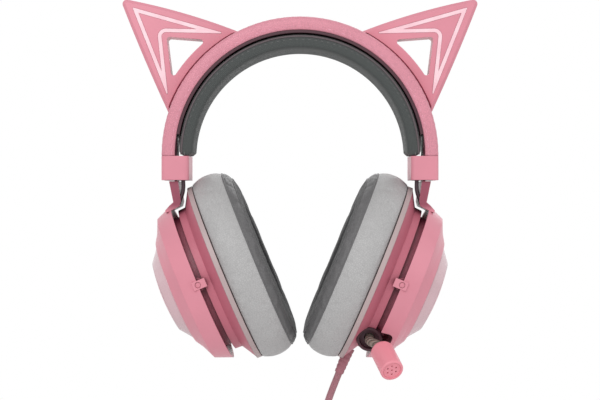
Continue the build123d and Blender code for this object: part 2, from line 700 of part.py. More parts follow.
def housing_inner():
    wall = HOUSING_WALL
    return oval_stack([
        (FLANGE_A - 1, FLANGE[0] - wall - 0.2, FLANGE[1] - wall - 0.9),
        (HOUSING_FLARE_A, HOUSING_FLARE[0] - wall, HOUSING_FLARE[1] - wall),
        (HOUSING_WAIST_A, HOUSING_WAIST[0] - wall, HOUSING_WAIST[1] - wall),
        (HOUSING_STEP_A - wall, HOUSING_WAIST[0] - wall, HOUSING_WAIST[1] - wall),
    ]) + oval_stack([
        (HOUSING_STEP_A - wall - 1, HOUSING_NECK[0] - wall, HOUSING_NECK[1] - wall),
        (HOUSING_NECK_A - wall / 2, HOUSING_NECK[0] - wall, HOUSING_NECK[1] - wall),
        (HOUSING_BACK_A - wall, HOUSING_BACK[0] - wall / 2, HOUSING_BACK[1] - wall / 2),
    ])


def cup_screw_places():
    ru, ry = CUP_SCREW_OVAL
    return [Pos(ru * cos(radians(t)), ry * sin(radians(t)), 0) for t in CUP_SCREW_ANGLES]


def side_edge(u):
    """Half-width of the housing's waist at a height u."""
    return HOUSING_WAIST[1] * (1 - (u / HOUSING_WAIST[0]) ** 2) ** 0.5


def wheel_place():
    """Centre of the volume wheel, in the cup's own frame."""
    return (WHEEL_U, -(side_edge(WHEEL_U) + WHEEL_PROUD - WHEEL_R), CONTROL_A)


def port():
    """Middle of the microphone's port on the housing's side, in the cup's own frame."""
    return (PORT_U, side_edge(PORT_U) + PORT_PROUD, PORT_A)


def mic_place():
    """Place whose Z axis is the boom's axis, pointing out of the port."""
    lean = radians(MIC_LEAN)
    return Plane(origin=port(), x_dir=(0, 0, 1), z_dir=(-sin(lean), cos(lean), 0)).location


def rear_housing(with_controls):
    """Cup housing that the driver looks out of, tilting on its two pins inside the shell."""
    inner = housing_inner()
    housing = housing_outer() - inner
    for place in cup_screw_places():
        boss = place * rod(SCREW_R + BOSS_WALL, FLANGE_A + SEAT, HOUSING_WAIST_A)
        housing += boss & housing_outer()
    for side in (-1, 1):
        boss = Rot(X=90) * rod(PIN_R + 2.0, *sorted((side * (HOUSING_NECK[1] - 4), side * PIN_BOSS_Y)))
        housing += boss
    for place in cup_screw_places():
        housing -= place * rod(SCREW_R + BORE_GAP, FLANGE_A - 1, FLANGE_A + CUP_SCREW_L)
    if with_controls:
        housing = add_control_seats(housing)
    bore = rod(PIN_R + BORE_GAP, HOUSING_NECK[1] - 4.5, SHELL_RIM[1])
    housing -= Rot(X=90) * (bore + mirror(bore, about=Plane.XY))
    return to_cup(housing)


def add_control_seats(housing):
    """Openings and seats for the wheel, the button, the board, the microphone and the cord."""
    u, y, a = wheel_place()
    half_t = WHEEL_T / 2 + RUN_GAP
    for low in (a - half_t - BRACKET_T, a + half_t):
        bracket = block(u - 4, u + 4, y - 5, y + 2.4, low, low + BRACKET_T)
        housing += bracket & housing_outer()
    housing -= Pos(u, y, 0) * rod(WHEEL_R + RUN_GAP, a - half_t, a + half_t)
    housing -= Pos(u, y, 0) * rod(AXLE_R + SEAT, a - half_t - 2, a + half_t + 2)
    for side in (-1, 1):
        post = rod(2.0, BOARD_A + BOARD_T + SEAT, HOUSING_BACK_A)
        post = Pos(BOARD_L - 4, side * (BOARD_W / 2 - 5), 0) * post
        housing += post & housing_outer()
    button = Pos(BUTTON_U, 0, CONTROL_A) * Rot(X=90)
    housing -= button * rod(BUTTON_R + RUN_GAP / 2, 20, button_edge() + 8)
    housing -= button * rod(BUTTON_R + BUTTON_COLLAR + RUN_GAP, 20, button_edge() - HOUSING_WALL)
    housing -= mic_place() * rod(PORT_R + SEAT, -PORT_IN - 6, 16)
    housing -= cord_place() * (relief_root(SEAT) + rod(RELIEF_ROOT_R + SEAT, 0, 10))
    return housing


def button_edge():
    return side_edge(BUTTON_U)


def pivot_pins():
    """Two pins along Y, fixed in the housing's bosses and turning in the shell's lugs."""
    low, high = HOUSING_NECK[1] - 4, SHELL_RIM[1] - 0.4
    return to_cup(Rot(X=90) * Compound([rod(PIN_R, low, high), rod(PIN_R, -high, -low)]))


def baffle(with_cord):
    """Mounting plate between the housing and the cushion, with the driver's hole."""
    front = FLANGE_A - FLANGE_T
    plate = Pos(0, 0, front) * extrude(Ellipse(*FLANGE), FLANGE_T)
    plate -= rod(DRIVER_R + SEAT, front - 1, FLANGE_A + 1)
    for place in cup_screw_places():
        plate -= place * rod(SCREW_HEAD_R + SEAT, front - 1, front + SCREW_HEAD_H + SEAT)
        plate -= place * rod(SCREW_R + BORE_GAP, front, FLANGE_A + 1)
    if with_cord:
        plate -= cord_place() * (relief_root(SEAT) + rod(RELIEF_ROOT_R + SEAT, 0, 20))
    return to_cup(plate)


def cup_screws():
    head = FLANGE_A - FLANGE_T + SCREW_HEAD_H + SEAT / 2
    return to_cup(Compound([place * Pos(0, 0, head) * screw(CUP_SCREW_L) for place in cup_screw_places()]))


def driver_frame():
    """Driver basket: a flange on the baffle, a tube through it and a vented back plate."""
    front = FLANGE_A - FLANGE_T - SEAT
    back = front + DRIVER_DEPTH
    wall = DRIVER_WALL
    inner_r = DRIVER_R - wall
    frame = turned([(DRIVER_FLANGE_R, front - wall), (DRIVER_FLANGE_R, front), (DRIVER_R, front),
                    (DRIVER_R, back), (10.5, back), (10.5, back - wall), (inner_r, back - wall),
                    (inner_r, front + 1.6), (inner_r - wall, front + 1.6), (inner_r - wall, front + 0.8),
                    (inner_r, front + 0.8), (inner_r, front - wall)])
    vents = PolarLocations((MAGNET_R + DRIVER_R - 2.0) / 2, 8).locations
    vent_r = (DRIVER_R - 2.0 - MAGNET_R) / 2 - 2.4
    return to_cup(frame - [place * rod(vent_r, back - 2, back + 1) for place in vents])


def driver_magnet():
    low = FLANGE_A - FLANGE_T + DRIVER_DEPTH
    magnet = rod(MAGNET_R, low, low + MAGNET_T)
    return to_cup(chamfer(magnet.edges().sort_by(Axis.Z)[-1], 0.8))


def driver_diaphragm():
    """Domed diaphragm on the basket's ledge, with its voice coil."""
    rest = FLANGE_A - FLANGE_T - SEAT + 0.8 - SEAT
    rim = DRIVER_R - DRIVER_WALL - SEAT
    cone = turned([(0, rest - 0.9), (5.5, rest - 0.4), (9.4, rest + 1.2), (rim, rest), (rim, rest - 0.5),
                   (9.6, rest + 0.6), (5.7, rest - 1.0), (0, rest - 1.5)])
    coil = rod(9.0, rest + 0.6, rest + 4.2) - rod(8.6, rest, rest + 5)
    return to_cup(cone + coil)


def speaker_cloth():
    front = FLANGE_A - FLANGE_T - SEAT - DRIVER_WALL - SEAT
    return to_cup(Pos(0, 0, front - CLOTH_T) * extrude(Ellipse(*CLOTH), CLOTH_T))


def ear_cushion():
    """Oval ring cushion: sides full, corners rounded towards the head."""
    back = FLANGE_A - FLANGE_T - SOFT_GAP
    sections = [(back - share * CUSHION_DEPTH, CUSHION[0] - shrink, CUSHION[1] - shrink)
                for share, shrink in CUSHION_SHRINKS]
    body = oval_stack(sections[::-1])
    hole = Pos(0, 0, back - CUSHION_DEPTH - 1) * extrude(Ellipse(*CUSHION_HOLE), CUSHION_DEPTH + 2)
    return to_cup(body - hole)


# ------------------------------------------------------------------ controls
def volume_wheel():
    """Knurled thumb wheel on a short axle along the cup's axis."""
    wheel = rod(WHEEL_R, -WHEEL_T / 2, WHEEL_T / 2)
    wheel -= [place * rod(0.35, -WHEEL_T, WHEEL_T) for place in PolarLocations(WHEEL_R, 24)]
    reach = WHEEL_T / 2 + RUN_GAP + BRACKET_T
    wheel += rod(AXLE_R, -reach, reach)
    return to_cup(Pos(*wheel_place()) * wheel)


def mute_button():
    """Round button that is pressed towards the cup's axis, kept in by a collar."""
    edge = button_edge()
    inside = edge - HOUSING_WALL - RUN_GAP
    button = rod(BUTTON_R, inside - BUTTON_IN, edge + BUTTON_PROUD)
    button += rod(BUTTON_R + BUTTON_COLLAR, inside - 1.0, inside)
    top = button.faces().sort_by(Axis.Z)[-1]
    button = fillet(top.edges(), 0.5)
    return to_cup(Pos(BUTTON_U, 0, CONTROL_A) * Rot(X=90) * button)


def main_board():
    """Sound board on two posts, with its chips and the mute switch on an arm."""
    board = block(0, BOARD_L, -BOARD_W / 2, BOARD_W / 2, BOARD_A, BOARD_A + BOARD_T)
    board += block(6, 14, -4, 4, BOARD_A + BOARD_T, BOARD_A + BOARD_T + 1.0)
    board += block(16, 21, 4, 9, BOARD_A + BOARD_T, BOARD_A + BOARD_T + 0.8)
    switch_face = button_edge() - HOUSING_WALL - RUN_GAP - BUTTON_IN - BUTTON_TRAVEL - SEAT
    arm_y = -switch_face + 4.0
    low = CONTROL_A - 2.0
    board += block(BUTTON_U - 2.5, BUTTON_U + 2.5, arm_y, 1 - BOARD_W / 2, low, BOARD_A + BOARD_T)
    board += block(BUTTON_U - 2.0, BUTTON_U + 2.0, -switch_face, arm_y, low, CONTROL_A - 0.2)
    return to_cup(board)


# ------------------------------------------------------------------ microphone
def mic_bezel():
    """Dark port ring that guides the boom."""
    ring = rod(PORT_R, -PORT_IN, PORT_OUT) - rod(BOOM_R + RUN_GAP, -PORT_IN - 1, PORT_OUT + 1)
    ring -= rod(PORT_R - 1.4, -0.5, PORT_OUT + 1)
    return to_cup(mic_place() * ring)


def boom_points():
    """Straight tail inside the cup, then a bend outside it towards the capsule."""
    lean = radians(MIC_LEAN)
    ahead = Vector(-sin(lean), cos(lean), 0)
    mouth = Vector(*port())
    tail = cup_point(*(mouth - ahead * BOOM_TAIL))
    bend = cup_point(*(mouth + ahead * 4.2))
    axis = Vector(*CAPSULE_AXIS).normalized()
    rear = capsule_front() - axis * CAPSULE_L
    return (tail, bend, tuple(rear - axis * 3.4), tuple(rear + axis * 5.0))


def mic_boom():
    boom = tube(boom_points(), BOOM_R)[0]
    stop = to_cup(mic_place() * rod(BOOM_R + 0.9, -BOOM_TAIL, -BOOM_TAIL + 1.6))
    return boom + stop


def capsule_front():
    """Centre of the capsule's front disc."""
    return Vector(*cup_point(*(Vector(*port()) + Vector(*CAPSULE_REACH))))


def capsule_place():
    axis = Vector(*CAPSULE_AXIS).normalized()
    return Plane(origin=capsule_front() - axis * CAPSULE_L, z_dir=axis).location


def mic_capsule():
    """Capsule with a rounded rear, a recessed front disc and sound holes."""
    body = rod(CAPSULE_R, 0, CAPSULE_L)
    body = fillet(body.edges().sort_by(Axis.Z)[0], 2.4)
    body = fillet(body.edges().sort_by(Axis.Z)[-1], 0.9)
    body -= rod(CAPSULE_R - 1.3, CAPSULE_L - 0.6, CAPSULE_L + 1)
    body -= rod(BOOM_R + SEAT, -1, 5.2)
    holes = [Pos(0, 0, 0)] + PolarLocations(2.6, 6).locations
    body -= [place * rod(0.45, CAPSULE_L - 3, CAPSULE_L + 1) for place in holes]
    return capsule_place() * body


# ------------------------------------------------------------------ cord
def cord_place():
    """Place whose Z axis points out of the cup's lower edge, in the cup's own frame."""
    return Plane(origin=(-HOUSING_FLARE[0], 0, CORD_EXIT_A), x_dir=(0, 1, 0), z_dir=(-1, 0, 0)).location


def cord_route():
    """Points of the cord from the strain relief's root to the top of the hank."""
    root = cup_point(-HOUSING_FLARE[0] + RELIEF_IN - 1, 0, CORD_EXIT_A)
    tip = cup_point(-HOUSING_FLARE[0] - RELIEF_L, 0, CORD_EXIT_A)
    return (root, tip) + CORD_POINTS


def relief_root(gap):
    """The strain relief's root and its collar inside the housing, grown by a gap."""
    root = rod(RELIEF_ROOT_R + gap, -RELIEF_IN - 1, 2.0)
    return root + rod(RELIEF_ROOT_R + 1.2 + gap, -RELIEF_IN - 1.2 - gap, -RELIEF_IN + gap)


def strain_relief():
    """Tapered sleeve with a collar inside the housing."""
    sleeve = relief_root(0) + turned([(0, 0), (RELIEF_ROOT_R, 0), (RELIEF_ROOT_R, 2.0),
                                      (RELIEF_TIP_R, RELIEF_L), (0, RELIEF_L)])
    return to_cup(cord_place() * sleeve) - tube(cord_route(), CORD_R)[0]


def cord_tubes():
    """The stretch from the cup to the hank, and the tail from the hank to the plug."""
    solids = []
    for label, points in (("cord", cord_route()), ("tail", tail_route())):
        solid, path = tube(points, CORD_R)
        ideal = pi * CORD_R ** 2 * path.length
        radii = ", ".join(f"{radius:.0f}" for radius in corner_radii(points))
        print(f"{label}: length {path.length:.1f} volume ratio {solid.volume / ideal:.4f} radii {radii}")
        solids.append(solid)
    return Compound(solids)


def tail_route():
    """Points of the tail, straight down from the lower end of the hank."""
    x, y, z = CORD_POINTS[-1]
    return tuple((x + dx, y + dy, z - HANK_L + dz) for dx, dy, dz in TAIL_POINTS)


def hank_place():
    x, y, z = CORD_POINTS[-1]
    return Pos(x, y, z - HANK_L / 2)


def cord_hank():
    """Outer shape of the long turns that put the cord's spare length away."""
    outline = Plane.XZ * SlotOverall(HANK_L, HANK_W, rotation=90)
    hank = extrude(outline, HANK_T / 2, both=True)
    return hank_place() * fillet(hank.edges(), 3.0)


def cord_tie():
    """Band round the middle of the hank."""
    outer = Box(HANK_W + 2 * (TIE_T + SOFT_GAP), HANK_T + 2 * (TIE_T + SOFT_GAP), TIE_W)
    inner = Box(HANK_W + 2 * SOFT_GAP, HANK_T + 2 * SOFT_GAP, TIE_W + 1)
    outer = fillet(outer.edges().filter_by(Axis.Z), 4.0)
    inner = fillet(inner.edges().filter_by(Axis.Z), 2.8)
    return hank_place() * (outer - inner)


def plug_place():
    """Place at the plug's root, with Z pointing down towards the contacts."""
    return Plane(origin=tail_route()[-1], x_dir=(1, 0, 0), z_dir=(0, 0, -1)).location


def usb_overmould():
    grip = extrude(RectangleRounded(PLUG_W, PLUG_T, 2.5), PLUG_L - 10)
    grip = Pos(0, 0, 10) * fillet(grip.faces().sort_by(Axis.Z)[0].edges(), 1.8)
    neck_part = turned([(0, 0), (CORD_R + 0.9, 0), (CORD_R + 1.7, 10.5), (0, 10.5)])
    socket = extrude(Rectangle(USB_W + 2 * SEAT, USB_T + 2 * SEAT), 6.0)
    return plug_place() * (grip + neck_part - Pos(0, 0, PLUG_L - 5.5) * socket)


def usb_shell():
    """Type-A contact shell with its insulating tongue."""
    tube_part = extrude(Rectangle(USB_W, USB_T), USB_L)
    hollow = extrude(Rectangle(USB_W - 2 * USB_WALL, USB_T - 2 * USB_WALL), USB_L)
    tongue = block(-USB_W / 2 + USB_WALL, USB_W / 2 - USB_WALL, -USB_T / 2 + USB_WALL, -0.1, 0, USB_L - 1)
    windows = [block(x - 1.1, x + 1.1, -USB_T, USB_T, USB_L - 7.5, USB_L - 5) for x in (-3.1, 3.1)]
    shell = tube_part - Pos(0, 0, 1) * hollow - windows + tongue
    return plug_place() * Pos(0, 0, PLUG_L - 5.3) * shell


# ------------------------------------------------------------------ write the parts
def main():
    os.makedirs("parts", exist_ok=True)
    save("headband_cover", headband_cover())
    save("headband_spring", headband_spring())
    save("headband_tray", headband_tray())
    save("headband_pad", headband_pad())
    save("tray_screws", tray_screws())
    save("ear_screws", ear_screws())

    save_pair("ear_front_shell", ear_front_shell())
    save_pair("ear_back_shell", ear_back_shell())
    save_pair("ear_light_guide", ear_light_guide())
    strip = ear_led_strip()
    save("ear_led_strips", Compound([strip, mirrored(strip)]))

    save_pair("end_sleeve", end_sleeve())
    guide = slider_guide()
    save("slider_guides", Compound([guide, mirrored(guide)]))
    save_pair("slider_blade", slider_blade())
    save_pair("link_cable", link_cable())

    save_pair("outer_shell", outer_shell(True), outer_shell(False))
    save_pair("light_ring", light_ring())
    save_pair("side_disc", side_disc())
    save_pair("led_board", led_board())
    save_pair("disc_screws", disc_screws())

    save_pair("rear_housing", rear_housing(True), rear_housing(False))
    save_pair("pivot_pins", pivot_pins())
    save_pair("baffle", baffle(True), baffle(False))
    save_pair("cup_screws", cup_screws())
    save_pair("driver_frame", driver_frame())
    save_pair("driver_magnet", driver_magnet())
    save_pair("driver_diaphragm", driver_diaphragm())
    save_pair("speaker_cloth", speaker_cloth())
    save_pair("ear_cushion", ear_cushion())

    save("main_board", main_board())
    save("volume_wheel", volume_wheel())
    save("mute_button", mute_button())
    save("mic_bezel", mic_bezel())
    save("mic_boom", mic_boom())
    save("mic_capsule", mic_capsule())

    save("strain_relief", strain_relief())
    save("cord", cord_tubes())
    save("cord_hank", cord_hank())
    save("cord_tie", cord_tie())
    save("usb_overmould", usb_overmould())
    save("usb_shell", usb_shell())


main()
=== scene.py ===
# %% [markdown]
# # A cat-ear gaming headset
#
# The headset is a padded arch with two cat ears, two oval cups that slide and tilt, a
# microphone on a bendable boom, and a cord with a plug. This lesson adds what CAD leaves
# plain: the leatherette skin of the band, the stuffed pad and ear cushions, the cord, and a
# finish for every part. Everything is in metres, in the CAD model's own frame.

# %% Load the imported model
import json
from math import cos, pi, radians

import bpy
import numpy as np
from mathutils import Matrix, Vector


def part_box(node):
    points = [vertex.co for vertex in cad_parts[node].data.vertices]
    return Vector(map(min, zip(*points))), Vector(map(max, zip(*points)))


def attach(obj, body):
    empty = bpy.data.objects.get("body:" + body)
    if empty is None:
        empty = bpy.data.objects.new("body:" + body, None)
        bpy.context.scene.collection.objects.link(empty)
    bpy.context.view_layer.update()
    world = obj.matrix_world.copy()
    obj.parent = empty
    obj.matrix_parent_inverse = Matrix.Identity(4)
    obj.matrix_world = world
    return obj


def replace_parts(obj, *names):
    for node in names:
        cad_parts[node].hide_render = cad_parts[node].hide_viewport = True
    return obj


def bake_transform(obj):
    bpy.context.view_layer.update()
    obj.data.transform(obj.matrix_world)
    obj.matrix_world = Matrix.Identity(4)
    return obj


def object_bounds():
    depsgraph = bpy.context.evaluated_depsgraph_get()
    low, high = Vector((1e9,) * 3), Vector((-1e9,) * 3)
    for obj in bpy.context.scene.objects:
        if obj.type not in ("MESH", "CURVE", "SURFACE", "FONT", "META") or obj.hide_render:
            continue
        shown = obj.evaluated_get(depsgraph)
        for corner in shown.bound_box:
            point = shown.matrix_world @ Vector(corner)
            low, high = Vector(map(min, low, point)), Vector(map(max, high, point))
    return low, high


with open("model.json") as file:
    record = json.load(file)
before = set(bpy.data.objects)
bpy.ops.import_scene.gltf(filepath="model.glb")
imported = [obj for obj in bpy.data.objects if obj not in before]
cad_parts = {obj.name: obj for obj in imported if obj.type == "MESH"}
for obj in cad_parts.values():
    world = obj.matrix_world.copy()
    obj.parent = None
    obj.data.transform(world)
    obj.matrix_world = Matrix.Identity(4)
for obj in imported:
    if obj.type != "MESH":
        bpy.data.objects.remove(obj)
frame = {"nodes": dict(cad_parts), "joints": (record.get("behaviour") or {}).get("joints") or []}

cad_box = [list(corner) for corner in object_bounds()]
print("CAD box", cad_box)

# %% [markdown]
# ## Places to measure from
#
# The arch's centre comes from the box of the pad, and the boxes of the pad and the cover give
# its radii to check by. The cup's own axes come from the joint that tilts it and the wheel that
# turns along it. In the cup's own frame, `u` runs up the cup, `forward` towards the microphone
# and `a` away from the head.

# %% The arch and the cup's own frame
MM = 0.001
pad_low, pad_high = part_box("headband_pad")
arch_z = pad_low.z - 0.3 * MM
seat_r = -arch_z
pad_r = pad_high.z - arch_z
cover_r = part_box("headband_cover")[1].z - arch_z

joints = {joint["name"]: joint for joint in frame["joints"]}
pivot = np.array(joints["tilt_left"]["pos_m"])
outward = np.array(joints["volume_turn"]["axis"])
outward = outward / np.linalg.norm(outward)
upward = np.array([-outward[2], 0.0, outward[0]])
FORWARD = np.array([0.0, -1.0, 0.0])


def on_cup(u, forward, a):
    """Points of the left cup: pivot + u * upward + forward * FORWARD + a * outward, in mm."""
    u, forward, a = (np.asarray(x, float)[..., None] * MM for x in (u, forward, a))
    return pivot + u * upward + forward * FORWARD + a * outward


print(f"arch centre {arch_z:.4f}, pad {seat_r:.4f} to {pad_r:.4f}, cover to {cover_r:.4f}")

# %% [markdown]
# ## Camera
#
# A headset is shown from straight in front, level with the middle of the arch and the cups,
# with a fairly long lens, so that both cups keep their shape.

# %% Camera
camera_data = bpy.data.cameras.new("camera")
camera = bpy.data.objects.new("camera", camera_data)
bpy.context.scene.collection.objects.link(camera)
camera.location = (0.0, -0.9, -0.0822)
camera.rotation_euler = (pi / 2, 0.0, 0.0)
camera_data.sensor_width = 36.0
camera_data.lens = 97.2
camera_data.clip_end = 50.0
bpy.context.scene.camera = camera
bpy.context.scene.view_settings.view_transform = "Standard"

# %% [markdown]
# ## Helpers for surfaces
#
# Every new piece is a grid of points: a profile carried along a path, or a function of two
# parameters. `skin` turns such a grid into a mesh, closes it where it runs round, and turns its
# faces outwards by the sign of its volume.

# %% From a grid of points to a mesh
def quads_of(n, m, round_n):
    """Corner indices of the cells of an n by m grid. Its m columns run round, and its n rows
    do where round_n says so."""
    rows = np.arange(n if round_n else n - 1)
    i, j = (a.ravel() for a in np.meshgrid(rows, np.arange(m), indexing="ij"))
    next_i, next_j = (i + 1) % n, (j + 1) % m
    corners = [i * m + j, next_i * m + j, next_i * m + next_j, i * m + next_j]
    return np.stack(corners, axis=1), i, j


def volume_of(points, faces):
    """Signed volume: the sum of the tetrahedra from the origin to each quad's two triangles."""
    a, b, c, d = (points[faces[:, k]] for k in range(4))
    return float((np.cross(a, b) * c).sum() + (np.cross(a, c) * d).sum()) / 6


def link(name, mesh, materials):
    """A smooth-shaded object of a mesh, with its materials, in the scene."""
    piece = bpy.data.objects.new(name, mesh)
    bpy.context.scene.collection.objects.link(piece)
    for material in materials:
        mesh.materials.append(material)
    mesh.polygons.foreach_set("use_smooth", np.ones(len(mesh.polygons), bool))
    return piece


def skin(name, grid, materials, round_n=False, lay=None, caps=False, panel=None):
    """Mesh of a grid of points of shape (n, m, 3), whose columns run round.
    lay is (along, across), each point's distance in metres along the two directions, one more
    than the grid has where it runs round. panel gives each column's material."""
    n, m = grid.shape[:2]
    points = grid.reshape(-1, 3)
    faces, i, j = quads_of(n, m, round_n)
    turned = volume_of(points, faces) < 0
    corners = [(0, 0), (1, 0), (1, 1), (0, 1)]
    if turned:
        faces, corners = faces[:, ::-1], corners[::-1]
    polygons = faces.tolist()
    if caps:
        first, last = list(range(m)), [(n - 1) * m + k for k in range(m)]
        polygons += [last, first[::-1]] if turned else [first, last[::-1]]
    mesh = bpy.data.meshes.new(name)
    mesh.from_pydata(points.tolist(), [], polygons)
    if lay is not None:
        along, across = (np.asarray(x, float) for x in lay)
        flat = np.zeros((len(mesh.loops), 2), np.float32)
        spots = np.stack([np.stack([along[i + di], across[j + dj]], axis=1) for di, dj in corners], axis=1)
        flat[: 4 * len(faces)] = spots.reshape(-1, 2)
        mesh.uv_layers.new(name="lay").data.foreach_set("uv", flat.ravel())
    piece = link(name, mesh, materials)
    if panel is not None:
        index = np.zeros(len(mesh.polygons), np.int32)
        index[: len(faces)] = np.asarray(panel)[j]
        mesh.polygons.foreach_set("material_index", index)
    mesh.validate()
    mesh.update()
    return piece


def lengths(line, closed=False):
    """Distance along a row of points, starting at 0."""
    ring = np.vstack([line, line[:1]]) if closed else line
    return np.concatenate([[0.0], np.cumsum(np.linalg.norm(np.diff(ring, axis=0), axis=1))])


def mirrored(grid):
    """The same points on the wearer's right."""
    return grid * np.array([-1.0, 1.0, 1.0])


# %% [markdown]
# A tube needs a smooth line. Blender's own NURBS curve gives one from a few points, so the
# helper lets Blender draw the curve and reads its points back.

# %% From a few points to a smooth line and a tube
def nurbs_curve(name, points):
    """A NURBS curve of order 3 that starts and ends at its end points."""
    data = bpy.data.curves.new(name, "CURVE")
    data.dimensions = "3D"
    spline = data.splines.new("NURBS")
    spline.points.add(len(points) - 1)
    rows = np.hstack([np.asarray(points, float), np.ones((len(points), 1))])
    spline.points.foreach_set("co", rows.ravel())
    spline.order_u = 3
    spline.use_endpoint_u = True
    spline.resolution_u = 8
    piece = bpy.data.objects.new(name, data)
    bpy.context.scene.collection.objects.link(piece)
    return piece


def line_of(points):
    """Points of the smooth line that a NURBS curve draws."""
    curve = nurbs_curve("line", points)
    bpy.context.view_layer.update()
    mesh = bpy.data.meshes.new_from_object(curve.evaluated_get(bpy.context.evaluated_depsgraph_get()))
    line = np.zeros(len(mesh.vertices) * 3)
    mesh.vertices.foreach_get("co", line)
    bpy.data.objects.remove(curve)
    return line.reshape(-1, 3)


def ring_frames(line):
    """Two directions across a line at each point, square to it: the second is as near to Y as it can be."""
    ahead = np.gradient(line, axis=0)
    ahead /= np.linalg.norm(ahead, axis=1)[:, None]
    side = np.array([0.0, 1.0, 0.0]) if abs(ahead[:, 1]).mean() < 0.6 else np.array([1.0, 0.0, 0.0])
    second = side - (ahead @ side)[:, None] * ahead
    second /= np.linalg.norm(second, axis=1)[:, None]
    return np.cross(second, ahead), second


def tube_grid(line, radius, sides=24):
    """Circles of the given radii round a line: centre + radius * (cos t * first + sin t * second)."""
    first, second = ring_frames(line)
    t = np.arange(sides) * 2 * pi / sides
    radius = np.broadcast_to(radius, len(line))[:, None, None]
    ring = np.cos(t)[None, :, None] * first[:, None] + np.sin(t)[None, :, None] * second[:, None]
    return line[:, None] + radius * ring

# %% [markdown]
# ## Finishes
#
# A finish is a small network of nodes. Effects that several finishes share, such as the pebbled
# grain of leatherette, the over and under of a weave, the soft unevenness of moulded plastic and
# the rubbed look of edges, are node groups, each made once. They give out only masks and
# heights, and each material keeps its own shader and its own fixed numbers.

# %% Helpers for nodes
def colour(r, g, b):
    """Screen colour (0 to 255) to linear light, as shaders need it: ((v + 0.055) / 1.055) ** 2.4."""
    v = np.array([r, g, b]) / 255
    return (*np.where(v <= 0.04045, v / 12.92, ((v + 0.055) / 1.055) ** 2.4).tolist(), 1.0)


def add(tree, kind, inputs=None, **settings):
    """A node with its settings, and its sockets linked or given numbers."""
    node = tree.nodes.new(kind)
    for key, value in settings.items():
        setattr(node, key, value)
    for key, value in (inputs or {}).items():
        if isinstance(value, bpy.types.NodeSocket):
            tree.links.new(value, node.inputs[key])
        else:
            node.inputs[key].default_value = value
    return node


def calc(tree, operation, *values):
    """Output of a Math node."""
    return add(tree, "ShaderNodeMath", dict(enumerate(values)), operation=operation).outputs[0]


def spread(tree, value, low, high, to_low=0.0, to_high=1.0):
    """Smooth step of a value from low..high to to_low..to_high."""
    sockets = {"Value": value, "From Min": low, "From Max": high, "To Min": to_low, "To Max": to_high}
    return add(tree, "ShaderNodeMapRange", sockets, interpolation_type="SMOOTHSTEP").outputs["Result"]


def new_group(name, numbers, outputs):
    """An empty node group that reads a place and named numbers: numbers are {name: value}."""
    tree = bpy.data.node_groups.new(name, "ShaderNodeTree")
    tree.interface.new_socket("Place", in_out="INPUT", socket_type="NodeSocketVector")
    for label, value in numbers.items():
        socket = tree.interface.new_socket(label, in_out="INPUT", socket_type="NodeSocketFloat")
        socket.default_value = value
    for label in outputs:
        tree.interface.new_socket(label, in_out="OUTPUT", socket_type="NodeSocketFloat")
    return tree, add(tree, "NodeGroupInput").outputs, add(tree, "NodeGroupOutput").inputs


def noise(tree, place, scale, detail, **more):
    """Output of a Noise texture at a place, from 0 to 1."""
    sockets = {"Vector": place, "Scale": scale, "Detail": detail, **more}
    return add(tree, "ShaderNodeTexNoise", sockets).outputs["Fac"]


def vector_math(tree, operation, first, second):
    """A Vector Math node. The second value of SCALE is a number."""
    key = "Scale" if operation == "SCALE" else 1
    return add(tree, "ShaderNodeVectorMath", {0: first, key: second}, operation=operation).outputs


# %% [markdown]
# Leatherette is vinyl pressed with a pattern of small pebbles. Cells of a Voronoi texture give
# the pebbles, and the distance to a cell's edge gives the creases between them.

# %% Grain, weave, unevenness and edge wear as node groups
def make_grain():
    """Height of rounded pebbles with a fine grain on them, and 1 in the creases between them."""
    tree, given, out = new_group("pebble_grain", {"Pebbles per metre": 900.0}, ["Height", "Crease"])
    wobble = add(tree, "ShaderNodeTexNoise", {"Vector": given["Place"], "Scale": 260.0, "Detail": 2.0})
    moved = vector_math(tree, "SCALE", wobble.outputs["Color"], 0.0012)[0]
    place = vector_math(tree, "ADD", given["Place"], moved)[0]
    cells = add(tree, "ShaderNodeTexVoronoi", {"Vector": place, "Scale": given["Pebbles per metre"]},
                feature="DISTANCE_TO_EDGE")
    pebble = spread(tree, cells.outputs["Distance"], 0.0, 0.22)
    fine = noise(tree, given["Place"], 3200.0, 3.0)
    tree.links.new(calc(tree, "MULTIPLY_ADD", fine, 0.25, pebble), out["Height"])
    tree.links.new(calc(tree, "SUBTRACT", 1.0, pebble), out["Crease"])
    return tree


def make_weave():
    """Height |sin(pi x) sin(pi y)| of a plain weave, and 1 where the thread across lies on top."""
    tree, given, out = new_group("plain_weave", {"Threads per metre": 1400.0}, ["Height", "Over", "Fuzz"])
    scaled = vector_math(tree, "SCALE", given["Place"], given["Threads per metre"])[0]
    parts = add(tree, "ShaderNodeSeparateXYZ", {0: scaled}).outputs
    waves = [calc(tree, "SINE", calc(tree, "MULTIPLY", parts[k], pi)) for k in range(2)]
    product = calc(tree, "MULTIPLY", waves[0], waves[1])
    tree.links.new(calc(tree, "POWER", calc(tree, "ABSOLUTE", product), 0.6), out["Height"])
    tree.links.new(spread(tree, product, -0.15, 0.15), out["Over"])
    tree.links.new(noise(tree, given["Place"], 900.0, 4.0), out["Fuzz"])
    return tree


def make_uneven():
    """Wide soft patches, and a fine speckle, both from 0 to 1."""
    tree, given, out = new_group("uneven_surface", {"Patches per metre": 30.0}, ["Patch", "Speckle"])
    patch = noise(tree, given["Place"], given["Patches per metre"], 3.0, Roughness=0.6)
    tree.links.new(spread(tree, patch, 0.3, 0.7), out["Patch"])
    tree.links.new(noise(tree, given["Place"], 2600.0, 2.0), out["Speckle"])
    return tree


